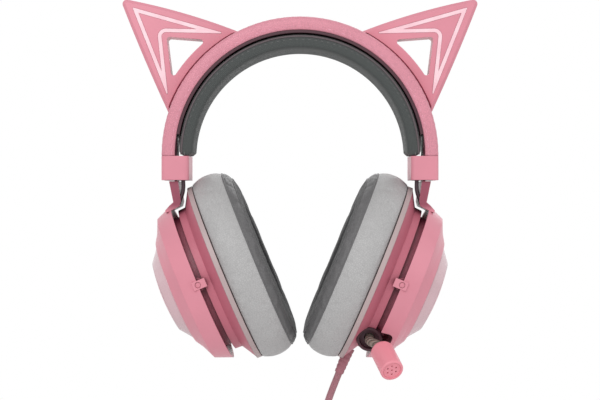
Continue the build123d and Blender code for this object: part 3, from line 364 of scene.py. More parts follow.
def make_wear():
    """Mask of rubbed edges: 1 - (rounded normal . true normal), kept where a noise is high."""
    tree, given, out = new_group("rubbed_edges", {"Width": 0.0006}, ["Mask"])
    rounded = add(tree, "ShaderNodeBevel", {"Radius": given["Width"]}, samples=4)
    true = add(tree, "ShaderNodeNewGeometry").outputs["Normal"]
    same = vector_math(tree, "DOT_PRODUCT", rounded.outputs[0], true)["Value"]
    rubbed = spread(tree, noise(tree, given["Place"], 420.0, 4.0), 0.35, 0.65, 0.3, 1.0)
    tree.links.new(calc(tree, "MULTIPLY", spread(tree, same, 0.995, 0.86), rubbed), out["Mask"])
    return tree


def make_gap_shade():
    """Mask of painted shade in deep gaps between parts: high where little of the space within 14 mm is open."""
    tree, given, out = new_group("shaded_gaps", {}, ["Mask"])
    open_part = add(tree, "ShaderNodeAmbientOcclusion", {"Distance": 0.014}, samples=6).outputs["AO"]
    softened = calc(tree, "MULTIPLY_ADD", noise(tree, given["Place"], 140.0, 3.0), 0.1, open_part)
    tree.links.new(spread(tree, softened, 0.72, 0.2), out["Mask"])
    return tree


GRAIN, WEAVE, UNEVEN, WEAR, SHADE_IN_GAPS = make_grain(), make_weave(), make_uneven(), make_wear(), make_gap_shade()
print("node groups:", [g.name for g in bpy.data.node_groups])


# %% [markdown]
# Each kind of finish is a function that builds one material. Its colour is mixed from a light
# and a dark shade by a mask, its roughness follows the same unevenness, and a Bump node turns
# the grain, weave or speckle into relief, mostly a few hundredths of a millimetre deep.

# %% Functions that build the finishes
def start(name, place):
    """An empty material with its shader, and the place its pattern is read from."""
    material = bpy.data.materials.new(name)
    material.use_nodes = True
    tree = material.node_tree
    shader = tree.nodes["Principled BSDF"]
    if place == "Object":
        spot = add(tree, "ShaderNodeTexCoord").outputs["Object"]
    else:
        spot = add(tree, "ShaderNodeUVMap", uv_map=place).outputs["UV"]
    return material, tree, shader, spot


def use(tree, group, **inputs):
    """Outputs of a node group, with its inputs linked or given numbers."""
    named = {key.replace("_", " "): value for key, value in inputs.items()}
    return add(tree, "ShaderNodeGroup", named, node_tree=group).outputs


def mix_colour(tree, mask, first, second):
    """Colour between two colours, by a mask. A Mix node's colours are its inputs 6 and 7 and
    its output 2."""
    return add(tree, "ShaderNodeMix", {0: mask, 6: first, 7: second}, data_type="RGBA").outputs[2]


def shade(colour_in, factor):
    """A colour made darker or lighter by a factor."""
    return (*[min(1.0, c * factor) for c in colour_in[:3]], 1.0)


def dress(tree, shader, base, roughness, height, relief, strength, **more):
    """Links what every finish has: a colour, a roughness, and a relief in metres from a height."""
    tree.links.new(base, shader.inputs["Base Color"])
    tree.links.new(roughness, shader.inputs["Roughness"])
    bump = add(tree, "ShaderNodeBump", {"Height": height, "Distance": relief, "Strength": strength, **more})
    tree.links.new(bump.outputs[0], shader.inputs["Normal"])


def speckled(tree, uneven, rough):
    """Roughness that follows the speckle of an uneven surface."""
    return spread(tree, uneven["Speckle"], 0.3, 0.7, rough - 0.06, rough + 0.08)


SHADED_NECK_LOW, SHADED_NECK_HIGH = arch_z - 0.0310, arch_z - 0.0262  # painted shade darkens the cup shell to neck_shade in between these heights


def moulded(name, base, rough=0.42, width=0.0005, relief=0.00001, edge=1.25, patch=0.035, coat=0.0,
            gap_shade=None, neck_shade=None):
    """Satin moulded plastic: slight patches, fine speckle, softened and rubbed edges, and
    painted shade: a darker colour down in the gaps between parts and up on the cup shell by the slider, where
    gap_shade and neck_shade give one."""
    material, tree, shader, spot = start(name, "Object")
    uneven = use(tree, UNEVEN, Place=spot)
    wear = use(tree, WEAR, Place=spot, Width=width)
    body = mix_colour(tree, uneven["Patch"], shade(base, 1 - patch), shade(base, 1 + patch))
    if neck_shade is not None:
        # Painted shade: between these heights the cup shell by the slider darkens to neck_shade.
        height = add(tree, "ShaderNodeSeparateXYZ", {0: spot}).outputs["Z"]
        body = mix_colour(tree, spread(tree, height, SHADED_NECK_LOW, SHADED_NECK_HIGH), body, neck_shade)
    if gap_shade is not None:
        # Painted shade: deep gaps between parts darken towards gap_shade.
        body = mix_colour(tree, use(tree, SHADE_IN_GAPS, Place=spot)["Mask"], body, gap_shade)
    rounded = add(tree, "ShaderNodeBevel", {"Radius": width}, samples=4).outputs[0]
    dress(tree, shader, mix_colour(tree, wear["Mask"], body, shade(base, edge)),
          speckled(tree, uneven, rough), uneven["Speckle"], relief, 0.6, Normal=rounded)
    shader.inputs["Coat Weight"].default_value = coat
    return material


def leatherette(name, base, pebbles=1000.0, relief=0.00005, rough=0.48, crease_shade=0.72):
    """Pebbled vinyl: creases darkened as painted shade, slightly glossier pebbles."""
    material, tree, shader, spot = start(name, "lay")
    grain = use(tree, GRAIN, Place=spot, Pebbles_per_metre=pebbles)
    uneven = use(tree, UNEVEN, Place=spot, Patches_per_metre=45.0)
    body = mix_colour(tree, uneven["Patch"], shade(base, 0.95), shade(base, 1.04))
    roughness = spread(tree, grain["Height"], 0.0, 1.1, rough + 0.12, rough - 0.05)
    # Painted shade: the creases between pebbles darken by the factor crease_shade.
    dress(tree, shader, mix_colour(tree, grain["Crease"], body, shade(base, crease_shade)),
          roughness, grain["Height"], relief, 0.8)
    shader.inputs["Sheen Weight"].default_value = 0.06
    return material


def woven(name, base, threads=1300.0, relief=0.00012, rough=0.85, gap_shade=0.45, place="lay", turn=0.0):
    """Cloth of crossing threads, with painted shade in the gaps between them and a soft fuzz. turn slants the
    threads.
    """
    material, tree, shader, spot = start(name, place)
    if turn:
        spot = add(tree, "ShaderNodeMapping", {"Vector": spot, "Rotation": (0.0, 0.0, turn)}).outputs[0]
    weave = use(tree, WEAVE, Place=spot, Threads_per_metre=threads)
    threads_tone = mix_colour(tree, weave["Over"], shade(base, 0.88), shade(base, 1.15))
    fuzzy = mix_colour(tree, spread(tree, weave["Fuzz"], 0.35, 0.7), threads_tone, shade(base, 1.25))
    on_top = spread(tree, weave["Height"], 0.0, 0.5)
    roughness = spread(tree, weave["Fuzz"], 0.2, 0.8, rough - 0.05, rough + 0.08)
    # Painted shade: the gaps between threads darken by the factor gap_shade.
    dress(tree, shader, mix_colour(tree, on_top, shade(base, gap_shade), fuzzy),
          roughness, weave["Height"], relief, 0.9)
    shader.inputs["Sheen Weight"].default_value = 0.25
    return material


def brushed(name, base, rough=0.3, stretch=(60.0, 60.0, 3000.0), metallic=1.0):
    """Metal with fine scratches drawn out along one direction."""
    material, tree, shader, spot = start(name, "Object")
    drawn = add(tree, "ShaderNodeMapping", {"Vector": spot, "Scale": stretch})
    scratch = noise(tree, drawn.outputs[0], 1.0, 3.0)
    wear = use(tree, WEAR, Place=spot, Width=0.0003)
    body = mix_colour(tree, scratch, shade(base, 0.8), shade(base, 1.1))
    roughness = spread(tree, scratch, 0.3, 0.7, rough - 0.08, rough + 0.12)
    dress(tree, shader, mix_colour(tree, wear["Mask"], body, shade(base, 1.3)),
          roughness, scratch, 0.000006, 0.5)
    shader.inputs["Metallic"].default_value = metallic
    return material


# %% [markdown]
# A gooseneck is wound from wire under a rubber skin, so it shows fine ribs square to its
# length. The microphone's pull gives that direction, and a sine of the distance along it the ribs.

# %% Ribbed skin of the gooseneck
def ribbed(name, base, axis, pitch=0.0019, relief=0.00025, rough=0.55):
    """Ribs square to an axis: height sin(2 pi (place . axis) / pitch), with painted shade between them."""
    material, tree, shader, spot = start(name, "Object")
    along = vector_math(tree, "DOT_PRODUCT", spot, tuple(axis))["Value"]
    wave = calc(tree, "SINE", calc(tree, "MULTIPLY", along, 2 * pi / pitch))
    uneven = use(tree, UNEVEN, Place=spot)
    body = mix_colour(tree, uneven["Patch"], shade(base, 0.94), shade(base, 1.05))
    # Painted shade in the grooves between the ribs.
    dress(tree, shader, mix_colour(tree, spread(tree, wave, -0.9, 0.2), shade(base, 0.45), body),
          speckled(tree, uneven, rough), wave, relief, 0.9)
    return material


# %% The finishes of this headset
CORD_D = 0.0039  # the cord's thickness in metres
BRAID = 12 / (pi * CORD_D * cos(pi / 4))  # threads per metre, so that 12 of them go round it
# PAINTED_SHADE_PINK is painted shade: the maroon the pink shells darken to in deep gaps between parts.
PINK, PAINTED_SHADE_PINK = colour(230, 147, 163), colour(128, 44, 66)
THREAD = {"threads": 5000.0, "relief": 0.00003, "gap_shade": 0.8}
FINISH = {
    "cover": leatherette("pink leatherette", colour(236, 155, 172), pebbles=1050.0, relief=0.00004, crease_shade=0.8),
    "shell": moulded("pink satin shell", PINK, rough=0.34, edge=1.15, gap_shade=PAINTED_SHADE_PINK),
    # The maroon given as neck_shade is painted shade on the cup shell up by the slider, not a second paint.
    "cup shell": moulded("pink shell with painted shade by the slider", PINK, rough=0.34, edge=1.15, gap_shade=PAINTED_SHADE_PINK,
                         neck_shade=colour(158, 78, 98)),
    # The housing darkens towards its gap_shade colour as painted shade in deep gaps.
    "housing": moulded("deeper pink housing", colour(205, 116, 134), rough=0.44, edge=1.15,
                       gap_shade=colour(112, 38, 58)),
    "disc": moulded("disc plastic", colour(236, 178, 188), rough=0.38, edge=1.1),
    "dark": moulded("dark plastic", colour(74, 40, 50), rough=0.5, edge=1.8),
    "ring": moulded("pale ring", colour(226, 190, 197), rough=0.3, edge=1.1, patch=0.05, coat=0.3),
    # The gooseneck's pale brownish grey is a painted highlight on rubber that is dark.
    "boom": ribbed("gooseneck rubber with painted highlight and shade", colour(150, 135, 125), joints["mic_pull"]["axis"]),
    "capsule": moulded("microphone pink", colour(246, 152, 166), rough=0.36, edge=1.1),
    "flange": moulded("warm grey flange", colour(190, 170, 170), rough=0.45, edge=1.15),
    # The blade's dark maroon is partly a chosen coating and partly painted shade of the shaded channel above
    # the cup.
    "blade": brushed("maroon coated steel, dark partly as painted shade", colour(112, 52, 68), rough=0.4, metallic=0.35),
    "steel": brushed("brushed spring steel", colour(196, 196, 200)),
    "fastener": brushed("plated fastener", colour(215, 215, 220), rough=0.2, stretch=(900.0, 900.0, 900.0)),
    "magnet": brushed("nickel cup", colour(205, 205, 210), rough=0.22, stretch=(400.0, 400.0, 400.0)),
    "film": moulded("amber film", colour(216, 208, 180), rough=0.2, edge=1.05, coat=0.3),
    "board": moulded("circuit board", colour(28, 98, 62), rough=0.35, width=0.0002, edge=1.4, coat=0.4),
    "contact": brushed("plug shell", colour(220, 220, 224), rough=0.22, stretch=(80.0, 80.0, 2500.0)),
    "plug": moulded("plug body", colour(176, 112, 124), rough=0.45, edge=1.2),
    "pad": woven("pad fabric", colour(76, 80, 79), threads=1250.0),
    "piping": leatherette("pad piping", colour(104, 92, 96), pebbles=1500.0),
    "side": leatherette("cushion side leatherette", colour(192, 191, 191), relief=0.00006, crease_shade=0.82),
    # The shoulder's darker grey is partly its own colour and partly painted shade.
    "bevel": leatherette("cushion shoulder leatherette", colour(112, 111, 112), relief=0.00006, crease_shade=0.8),
    "face": woven("cushion face fabric", colour(64, 64, 65), threads=1100.0),
    "cloth": woven("speaker cloth", colour(44, 44, 46), threads=1500.0, gap_shade=0.3),
    "jacket": woven("cord braid", colour(172, 116, 126), threads=BRAID, rough=0.7, gap_shade=0.6, turn=pi / 4),
    # The link wires' dark maroon is partly their own colour and partly painted shade of the shaded channel
    # above the cup.
    "wire": moulded("wire sleeve, dark partly as painted shade", colour(62, 42, 50), rough=0.5, width=0.0002),
    "thread": woven("stitching thread", colour(244, 170, 188), place="Object", **THREAD),
    "grey thread": woven("grey stitching thread", colour(116, 114, 115), place="Object", **THREAD),
    "tie": woven("hook and loop band", colour(50, 46, 49), threads=900.0, relief=0.0002, gap_shade=0.35),
}


def light_guide():
    """Milky plastic with the lights behind it switched on: a soft glow, a little uneven."""
    material, tree, shader, spot = start("milky light guide", "Object")
    uneven = use(tree, UNEVEN, Place=spot, Patches_per_metre=120.0)
    glow = mix_colour(tree, uneven["Patch"], colour(246, 200, 210), colour(252, 216, 223))
    roughness = spread(tree, uneven["Speckle"], 0.3, 0.7, 0.24, 0.34)
    dress(tree, shader, glow, roughness, uneven["Speckle"], 0.000005, 0.4)
    tree.links.new(glow, shader.inputs["Emission Color"])
    shader.inputs["Emission Strength"].default_value = 0.12
    shader.inputs["Coat Weight"].default_value = 0.4
    return material


FINISH["light"] = light_guide()
print(len(FINISH), "finishes")

# %% [markdown]
# ## The CAD parts keep their shape
#
# The hard parts already have the right shape, so each only gets its finish.

# %% Finish for every CAD node
STARTS = {
    "light": ("ear_light_guide",), "ring": ("light_ring",), "cup shell": ("outer_shell",),
    "shell": ("ear_front_shell", "ear_back_shell", "end_sleeve", "pivot_pins"),
    "housing": ("rear_housing",), "disc": ("side_disc",), "blade": ("slider_blade",),
    "board": ("ear_led_strips", "led_board", "main_board"), "steel": ("headband_spring",),
    "fastener": ("disc_screws", "tray_screws", "ear_screws", "cup_screws"),
    "magnet": ("driver_magnet",), "film": ("driver_diaphragm",), "flange": ("baffle",),
    "boom": ("mic_boom",), "capsule": ("mic_capsule",), "contact": ("usb_shell",),
    "plug": ("usb_overmould", "strain_relief"), "cover": ("headband_cover",),
    "pad": ("headband_pad",), "side": ("ear_cushion",), "cloth": ("speaker_cloth",),
    "tie": ("cord_tie",), "jacket": ("cord",), "wire": ("link_cable",),
}
for name, node in frame["nodes"].items():
    finish = next((key for key, starts in STARTS.items() if name.startswith(starts)), "dark")
    node.data.materials.clear()
    node.data.materials.append(FINISH[finish])
print(len(frame["nodes"]), "CAD nodes have a finish")

# %% [markdown]
# ## The cord
#
# The cord leaves the left cup through its strain relief, hangs down and inwards, and its long
# rest is folded into a neat oval hank with a tie round its middle, as a new headset's cord is.
# It is one NURBS curve whose points are the route. The hank's turns are more points of the same
# curve, three rings wide and four layers deep. A braid has to follow the cord, so the cord is
# a tube with its own UV map, drawn round the line that Blender makes from the NURBS curve.

# %% The cord's route
HANK = np.array([7.9, 1.0, -276.4])  # the hank's middle, in mm
LAYER = 4.1  # from one layer to the next
RINGS = np.array([11.7, 15.6, 19.55]) / 0.966  # radii of the points, a little outside the line
HALF_RUN = 20.5  # half of a straight side
TURNS = [("low", 2, 0), ("high", 1, 0), ("low", 1, 0), ("high", 0, 0), ("low", 0, 0),
         ("high", 0, 1), ("low", 0, 1), ("high", 1, 1), ("low", 1, 1), ("high", 2, 1),
         ("low", 2, 2), ("high", 2, 2), ("low", 1, 2), ("high", 1, 2), ("low", 0, 2),
         ("high", 0, 3), ("low", 0, 3), ("high", 1, 3), ("low", 1, 3), ("high", 2, 3)]


def half_turn(end, ring, layer):
    """Half circle with a point each 30 degrees, clockwise from the front:
    x = +-r cos t, z = -+(half run + r sin t)."""
    t = np.radians(np.arange(0, 181, 30))
    way = 1 if end == "low" else -1
    x, z = way * RINGS[ring] * np.cos(t), -way * (HALF_RUN + RINGS[ring] * np.sin(t))
    return np.stack([x, np.full(len(t), (layer - 1.5) * LAYER), z], axis=1)


def straight_between(first, second):
    """Points of a straight side, where the cord steps to the next ring or layer: on the left side
    outwards low down, to the next layer in the middle and inwards high up, on the right side
    inwards in its upper half and to the next layer in its lower half."""
    (end, ring, layer), (_, ring2, layer2) = first, second
    x = -1 if end == "low" else 1
    a, b = ((x * RINGS[k], (level - 1.5) * LAYER) for k, level in ((ring, layer), (ring2, layer2)))
    third = HALF_RUN / 3
    if a == b:
        return np.zeros((0, 3))
    if end == "low":
        if layer2 != layer:
            return np.array([[*a, -third], [*b, third]])
        return np.array([[*b, -third]]) if ring2 > ring else np.array([[*a, third]])
    return np.array([[*b, 0.0]]) if ring2 != ring else np.array([[*a, 0.0]])


turns = np.vstack([np.vstack([half_turn(*turn), straight_between(turn, after)])
                   for turn, after in zip(TURNS, TURNS[1:] + [TURNS[-1]])]) + HANK
lead = np.array([(27.97, 0, -162.84), (21.43, 0, -178.53), (15.7, 0, -193.2), (11.6, 0.6, -206.6),
                 (9.2, -0.6, -219), (10.8, -3.4, -228), (15.5, -5.15, -234.4), (22, -5.15, -239.5),
                 (26.3, -5.15, -247), (27.9, -5.15, -257)])
tail = np.array([(27.45, 7.15, -296), (26.3, 7.15, -305.8), (22, 7.15, -313.3), (15.5, 6.6, -318.4),
                 (10.8, 4.4, -324.8), (8.7, 2, -331), (8.2, 1, -336.4)])
cord_line = line_of(np.vstack([lead, turns, tail]) * MM)
print(f"{len(lead) + len(turns) + len(tail)} points, cord {lengths(cord_line)[-1]:.3f} m")


# %% The cord's braided jacket
def tube(name, line, radius, materials, sides=18):
    """Closed tube round a line, with a UV map in metres along and around it."""
    around = np.linspace(0, 2 * pi * float(np.max(radius)), sides + 1)
    return skin(name, tube_grid(line, radius, sides), materials, lay=(lengths(line), around), caps=True)


cord = tube("cord_jacket", cord_line, CORD_D / 2, [FINISH["jacket"]], 16)
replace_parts(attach(cord, "cup_left"), "cord", "cord_hank")
print(len(cord.data.polygons), "faces in the cord")

# %% [markdown]
# The strain relief is a soft tapered sleeve with ring grooves, so that it bends evenly instead
# of at one place. It is turned: a row of radii along the cord's first direction.

# %% Strain relief
s = np.linspace(0.0, 1.0, 97)
taper = 3.2 - 0.7 * s
GROOVES = 14 / 2.3  # how many fit in its length
groove = 0.2 * np.clip(np.cos(2 * pi * s * GROOVES), 0, 1) * (s > 0.12) * (s < 0.95)
rounding = np.sqrt(np.clip(1 - ((s - 0.95) / 0.05).clip(0, 1) ** 2, 0.35, 1))
relief_line = on_cup(-44.6 - 15.2 * s, 0 * s, 0 * s - 10.6)
relief = tube("cord_strain_relief", relief_line, (taper - groove) * rounding * MM, [FINISH["plug"]], 28)
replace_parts(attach(relief, "cup_left"), "strain_relief")

# %% [markdown]
# The tie is a strap of hook-and-loop tape, wrapped round the middle of the hank with its end
# lying over its start. Its line is a rounded oblong whose second lap lies a strap's thickness
# further out.

# %% Hook-and-loop tie
STRAP = 0.0012  # thickness of the strap
tie_low, tie_high = (np.array(corner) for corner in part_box("cord_tie"))
tie_mid = np.array([HANK[0] * MM, HANK[1] * MM, (tie_low[2] + tie_high[2]) / 2])
t = np.linspace(-0.2 * pi, 2 * pi + 0.1 * pi, 241)
out = np.clip((t - 1.72 * pi) / (0.06 * pi), 0, 1) * STRAP


def oblong(t, half_x, half_y, square):
    """Rounded oblong: x = a sgn(cos t) |cos t|^s, y = b sgn(sin t) |sin t|^s."""
    c, d = np.cos(t), np.sin(t)
    return half_x * np.sign(c) * np.abs(c) ** square, half_y * np.sign(d) * np.abs(d) ** square


section_t, section_z = oblong(np.linspace(0, 2 * pi, 24, endpoint=False),
                              STRAP / 2, (tie_high[2] - tie_low[2]) / 2, 0.5)
x, y = oblong(t, RINGS[2] * MM + CORD_D / 2 + 0.0011, (1.5 * LAYER) * MM + CORD_D / 2 + 0.0009, 0.2)
away = np.stack([np.gradient(y), -np.gradient(x)], axis=1)
away /= np.linalg.norm(away, axis=1)[:, None]
reach = section_t[None, :] + out[:, None]
tie_grid = np.stack([x[:, None] + away[:, :1] * reach, y[:, None] + away[:, 1:] * reach,
                     np.broadcast_to(section_z, reach.shape)], axis=-1) + tie_mid
tie = skin("cord_tie_strap", tie_grid, [FINISH["tie"]],
           lay=(lengths(tie_grid[:, 0]), lengths(np.stack([section_t, section_z], axis=1), True)), caps=True)
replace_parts(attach(tie, "cup_left"), "cord_tie")

# %% [markdown]
# ## The band's leatherette skin
#
# The band is a shallow channel, wrapped in leatherette that is turned in at its edges and
# top-stitched near both sides. A flat CAD face can't show a skin that swells between its seams,
# so the whole channel is made again: its section is a row of (radius, inset) points, carried
# round the arch while its half width grows towards the crown.

# %% Band: half width and a row of points round the arch
def half_width(height):
    """Half of the band's width in mm at a height above the arch centre: 15.5 + 0.1103 h - 0.000588 h^2."""
    h = np.clip(height, 0, None)
    return 15.5 + 0.1103 * h - 0.000588 * h * h


def round_arch(theta, r, y):
    """Points at angle theta, radius r and width y, in mm: (r cos theta, y, arch centre + r sin theta)."""
    theta, r, y = np.broadcast_arrays(theta, r, y)
    return np.stack([r * np.cos(theta), y, arch_z / MM + r * np.sin(theta)], axis=-1) * MM


BAND_R = 75.8  # outside radius of the band
theta = np.linspace(0.0, pi, 241)
width = half_width(BAND_R * np.sin(theta))
side_r = np.array([68.4, 68.4, 68.6, 69.3, 71.0, 73.0, 74.4, 75.2, 75.6, 75.72, 75.6, 75.28, 75.28,
                   75.62, 75.76, BAND_R])
side_in = np.array([1.7, 0.9, 0.3, 0.0, -0.35, -0.3, 0.1, 0.8, 1.7, 2.5, 3.0, 3.25, 3.45, 3.7, 4.6, 8.0])
inner_r = np.array([73.8, 73.8, 73.4, 71.0])
inner_in = np.array([9.0, 2.6, 2.2, 2.0])
r_side = np.concatenate([side_r, [BAND_R], side_r[::-1], inner_r[::-1], inner_r])
in_side = np.concatenate([side_in, [0.0], side_in[::-1], inner_in[::-1], inner_in])
sign = np.repeat([1.0, 0.0, -1.0, 1.0], [16, 1, 16 + 4, 4])
cover_grid = round_arch(theta[:, None], r_side[None], sign[None] * (width[:, None] - in_side[None]))
cover = skin("band_leatherette", cover_grid, [FINISH["cover"]],
             lay=(lengths(cover_grid[:, 16]), lengths(cover_grid[120], True)), caps=True)
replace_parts(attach(cover, "headband"), "headband_cover")
print("band skin", len(cover.data.polygons), "faces")


# %% [markdown]
# A stitch is a small rounded bar of thread that dips into the skin at both ends. Its 24 points
# are worked out for every place along the seam at once, as whole arrays.

# %% Stitches
def stitches(name, centres, ahead, up, length, radius, material):
    """Bars of six sides and four rings: centre + x ahead + radius (cos t across + sin t up)."""
    across = np.cross(up, ahead)
    t = np.arange(6) * pi / 3
    xs = np.array([-0.5, -0.3, 0.3, 0.5]) * length
    size = np.array([0.5, 1.0, 1.0, 0.5]) * radius
    sink = np.array([-0.7, 0.0, 0.0, -0.7]) * radius
    bar = (centres[:, None, None] + xs[None, :, None, None] * ahead[:, None, None]
           + (size[:, None] * np.cos(t))[None, ..., None] * across[:, None, None]
           + (size[:, None] * np.sin(t) + sink[:, None])[None, ..., None] * up[:, None, None])
    count = len(centres)
    faces, _, _ = quads_of(4, 6, False)
    ends = np.array([[0, 1, 2, 3, 4, 5], [23, 22, 21, 20, 19, 18]])
    if volume_of(bar[0].reshape(-1, 3) - centres[0], faces) < 0:
        faces, ends = faces[:, ::-1], ends[::-1, ::-1]
    shift = (np.arange(count) * 24)[:, None]
    polygons = (faces[None] + shift[..., None]).reshape(-1, 4).tolist()
    polygons += (ends[0] + shift).tolist() + (ends[1] + shift).tolist()
    mesh = bpy.data.meshes.new(name)
    mesh.from_pydata(bar.reshape(-1, 3).tolist(), [], polygons)
    mesh.update()
    return link(name, mesh, [material])


def arch_stitches(name, r, inset, pitch, material, length=0.0026, radius=0.00028, on_side=False):
    """Stitches round the arch near both edges, on its outside or on its sides."""
    at = np.linspace(0.02, pi - 0.02, int(r * pi / pitch))
    rows = []
    for side in (1, -1):
        width_here = half_width(r * np.sin(at)) - inset
        centres = round_arch(at, r, side * width_here)
        ahead = np.gradient(centres, axis=0)
        ahead /= np.linalg.norm(ahead, axis=1)[:, None]
        up = [0 * at, 0 * at + side, 0 * at] if on_side else [np.cos(at), 0 * at, np.sin(at)]
        up = np.stack(up, axis=1)
        up = up - (up * ahead).sum(axis=1)[:, None] * ahead
        rows.append((centres, ahead, up / np.linalg.norm(up, axis=1)[:, None]))
    return stitches(name, *(np.vstack(part) for part in zip(*rows)), length, radius, material)


band_thread = arch_stitches("band_stitching", 75.72, 4.4, 4.0, FINISH["thread"])
side_thread = arch_stitches("band_side_stitching", 70.2, -0.3, 4.0, FINISH["thread"],
                            radius=0.0002, on_side=True)
for piece in (band_thread, side_thread):
    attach(piece, "headband")
print(len(band_thread.data.polygons) // 20, "stitches on the band")

# %% [markdown]
# ## The pad under the band
#
# The pad is firm foam in woven fabric. It hardly wrinkles, so a worked-out surface is enough: a
# rounded oblong section, fuller in its middle than at its sides, carried round the inside
# of the arch, with a piped seam near the band.

# %% Pad and its piping
PAD_R = 62.3  # radius of the pad's middle
theta = np.linspace(radians(0.35), pi - radians(0.35), 221)
end_in = np.minimum(theta - theta[0], theta[-1] - theta) * 62.25
full = np.sqrt(np.clip(1 - (1 - (end_in / 2.2).clip(0, 1)) ** 2, 0.3, 1))  # its ends are rounded
phi = np.linspace(0, 2 * pi, 56, endpoint=False)
c, d = np.cos(phi), np.sin(phi)
pad_half = half_width(62.0 * np.sin(theta)) - 0.5
section_r = PAD_R + np.where(c > 0, 4.1, 4.2) * np.sign(c) * np.abs(c) ** 0.42
section_y = np.sign(d) * np.abs(d) ** 0.28
pad_r_grid = PAD_R + (section_r - PAD_R)[None] * full[:, None]
pad_y_grid = section_y[None] * (pad_half * (0.96 + 0.04 * full))[:, None]
pad_grid = round_arch(theta[:, None], pad_r_grid, pad_y_grid)
pad = skin("pad_foam_and_fabric", pad_grid, [FINISH["pad"]],
           lay=(lengths(pad_grid[:, 0]), lengths(pad_grid[110], True)), caps=True)
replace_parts(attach(pad, "headband"), "headband_pad")
SEAM_R = 64.9  # radius of the piped seam
at = np.linspace(radians(0.6), pi - radians(0.6), 161)
for side, label in ((-1, "front"), (1, "back")):
    seam = round_arch(at, SEAM_R, side * (half_width(SEAM_R * np.sin(at)) - 0.75))
    piping = tube(f"pad_piping_{label}", seam, 0.00055, [FINISH["piping"]], 12)
    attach(piping, "headband")
pad_thread = arch_stitches("pad_stitching", 63.2, 0.72, 3.4, FINISH["grey thread"],
                           radius=0.0002, length=0.0021, on_side=True)
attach(pad_thread, "headband")
print("pad", len(pad.data.polygons), "faces")

# %% [markdown]
# ## Ear cushions
#
# Each cushion is an oval ring of soft foam in leatherette, with a woven face. Such a skin is
# full, pulls in at its seams and has small puckers beside them, which a swept section alone
# doesn't show. So the ring starts a little smaller, is blown up by cloth simulation with its
# seams held, and what the cloth finds is capped and written back. The right one is its mirror.

# %% Cushion: a ring of points round the ear
CUSHION_BACK, CUSHION_DEEP = -15.3, 24.0  # where its back lies, and how deep it is
OUTER, HOLE = np.array([53.0, 45.5]), np.array([32.5, 27.0])  # half sizes of the two ovals

# The section's knots: the share of the depth, and q, from 0 at the outer oval to 1 at the hole.
# Knots 0 to 4 are the side, 4 to 9 the shoulder, 9 to 16 the face and the hole, the rest the back.
depth_of = np.array([0.0, 0.10, 0.33, 0.57, 0.755, 0.775, 0.82, 0.895, 0.93, 0.945,
                     0.96, 1.0, 1.0, 0.975, 0.91, 0.76, 0.4, 0.05, 0.0, 0.0])
q_of = np.array([0.05, 0.0, -0.035, -0.02, 0.07, 0.065, 0.10, 0.19, 0.26, 0.305,
                 0.34, 0.56, 0.74, 0.88, 0.965, 1.0, 1.0, 1.0, 0.96, 0.4])
SEAMS, BACK_FROM, BACK_TO = (4, 9), 16.5, 0.4
knots = np.arange(21.0)
fine = np.concatenate([np.arange(k, k + 1, 1 / 3) for k in range(20)])
depth_s = np.interp(fine, knots, np.append(depth_of, depth_of[0]))
q_s = np.interp(fine, knots, np.append(q_of, q_of[0]))
t = np.linspace(0, 2 * pi, 168, endpoint=False)


def cushion_points(depth, q, t, shrink=0.0):
    """Between the outer oval and the hole's oval: (1 - q) outer + q hole, at a share of the depth."""
    half = OUTER[None] * (1 - q[:, None]) + HOLE[None] * q[:, None]
    pull = shrink * np.where(q < 0.5, -1, 0)
    u = np.cos(t)[:, None] * (half[:, 0] + pull)[None]
    forward = np.sin(t)[:, None] * (half[:, 1] + pull)[None]
    a = CUSHION_BACK - (CUSHION_DEEP - shrink) * depth[None] + 0 * u
    return on_cup(u, forward, a)


first = cushion_points(depth_s, q_s, t, 0.7)


# %% Cushion: blown up with its seams held
def blown(points, held, cap, scale=10.0, pressure=4.0):
    """Cloth simulation of a closed ring of points. held says which columns stay in place, and
    cap is how far each column may move, in metres."""
    n, m = points.shape[:2]
    middle = points.reshape(-1, 3).mean(axis=0)
    faces, _, _ = quads_of(n, m, True)
    flat = (points.reshape(-1, 3) - middle) * scale
    if volume_of(flat, faces) < 0:
        faces = faces[:, ::-1]
    mesh = bpy.data.meshes.new("blown")
    mesh.from_pydata(flat.tolist(), [], faces.tolist())
    body = bpy.data.objects.new("blown", mesh)
    bpy.context.scene.collection.objects.link(body)
    group = body.vertex_groups.new(name="held")
    index = np.arange(n)[:, None] * m + np.nonzero(held)[0][None]
    group.add(index.ravel().tolist(), 1.0, "REPLACE")
    cloth = body.modifiers.new("cloth", "CLOTH")
    cloth.settings.quality = 6
    cloth.settings.use_pressure = True
    cloth.settings.uniform_pressure_force = pressure
    cloth.settings.vertex_group_mass = "held"
    cloth.settings.shrink_min = -0.02
    cloth.settings.tension_stiffness = 20
    cloth.settings.compression_stiffness = 12
    cloth.settings.bending_stiffness = 0.35
    cloth.settings.effector_weights.gravity = 0
    cloth.collision_settings.use_collision = False
    cloth.point_cache.frame_start, cloth.point_cache.frame_end = 1, 20
    scene = bpy.context.scene
    for number in range(1, 21):
        scene.frame_set(number)
    solved = body.evaluated_get(bpy.context.evaluated_depsgraph_get()).to_mesh()
    found = np.zeros(len(solved.vertices) * 3)
    solved.vertices.foreach_get("co", found)
    scene.frame_set(1)
    bpy.data.objects.remove(body)
    bpy.data.meshes.remove(mesh)
    move = (found.reshape(-1, 3) / scale + middle) - points.reshape(-1, 3)
    move = move.reshape(points.shape)
    far = np.linalg.norm(move, axis=-1)
    move *= np.minimum(1, cap[None] / np.maximum(far, 1e-9))[..., None]
    print(f"cloth moved up to {far.max() * 1000:.2f} mm, kept to {cap.max() * 1000:.1f} mm")
    return points + move


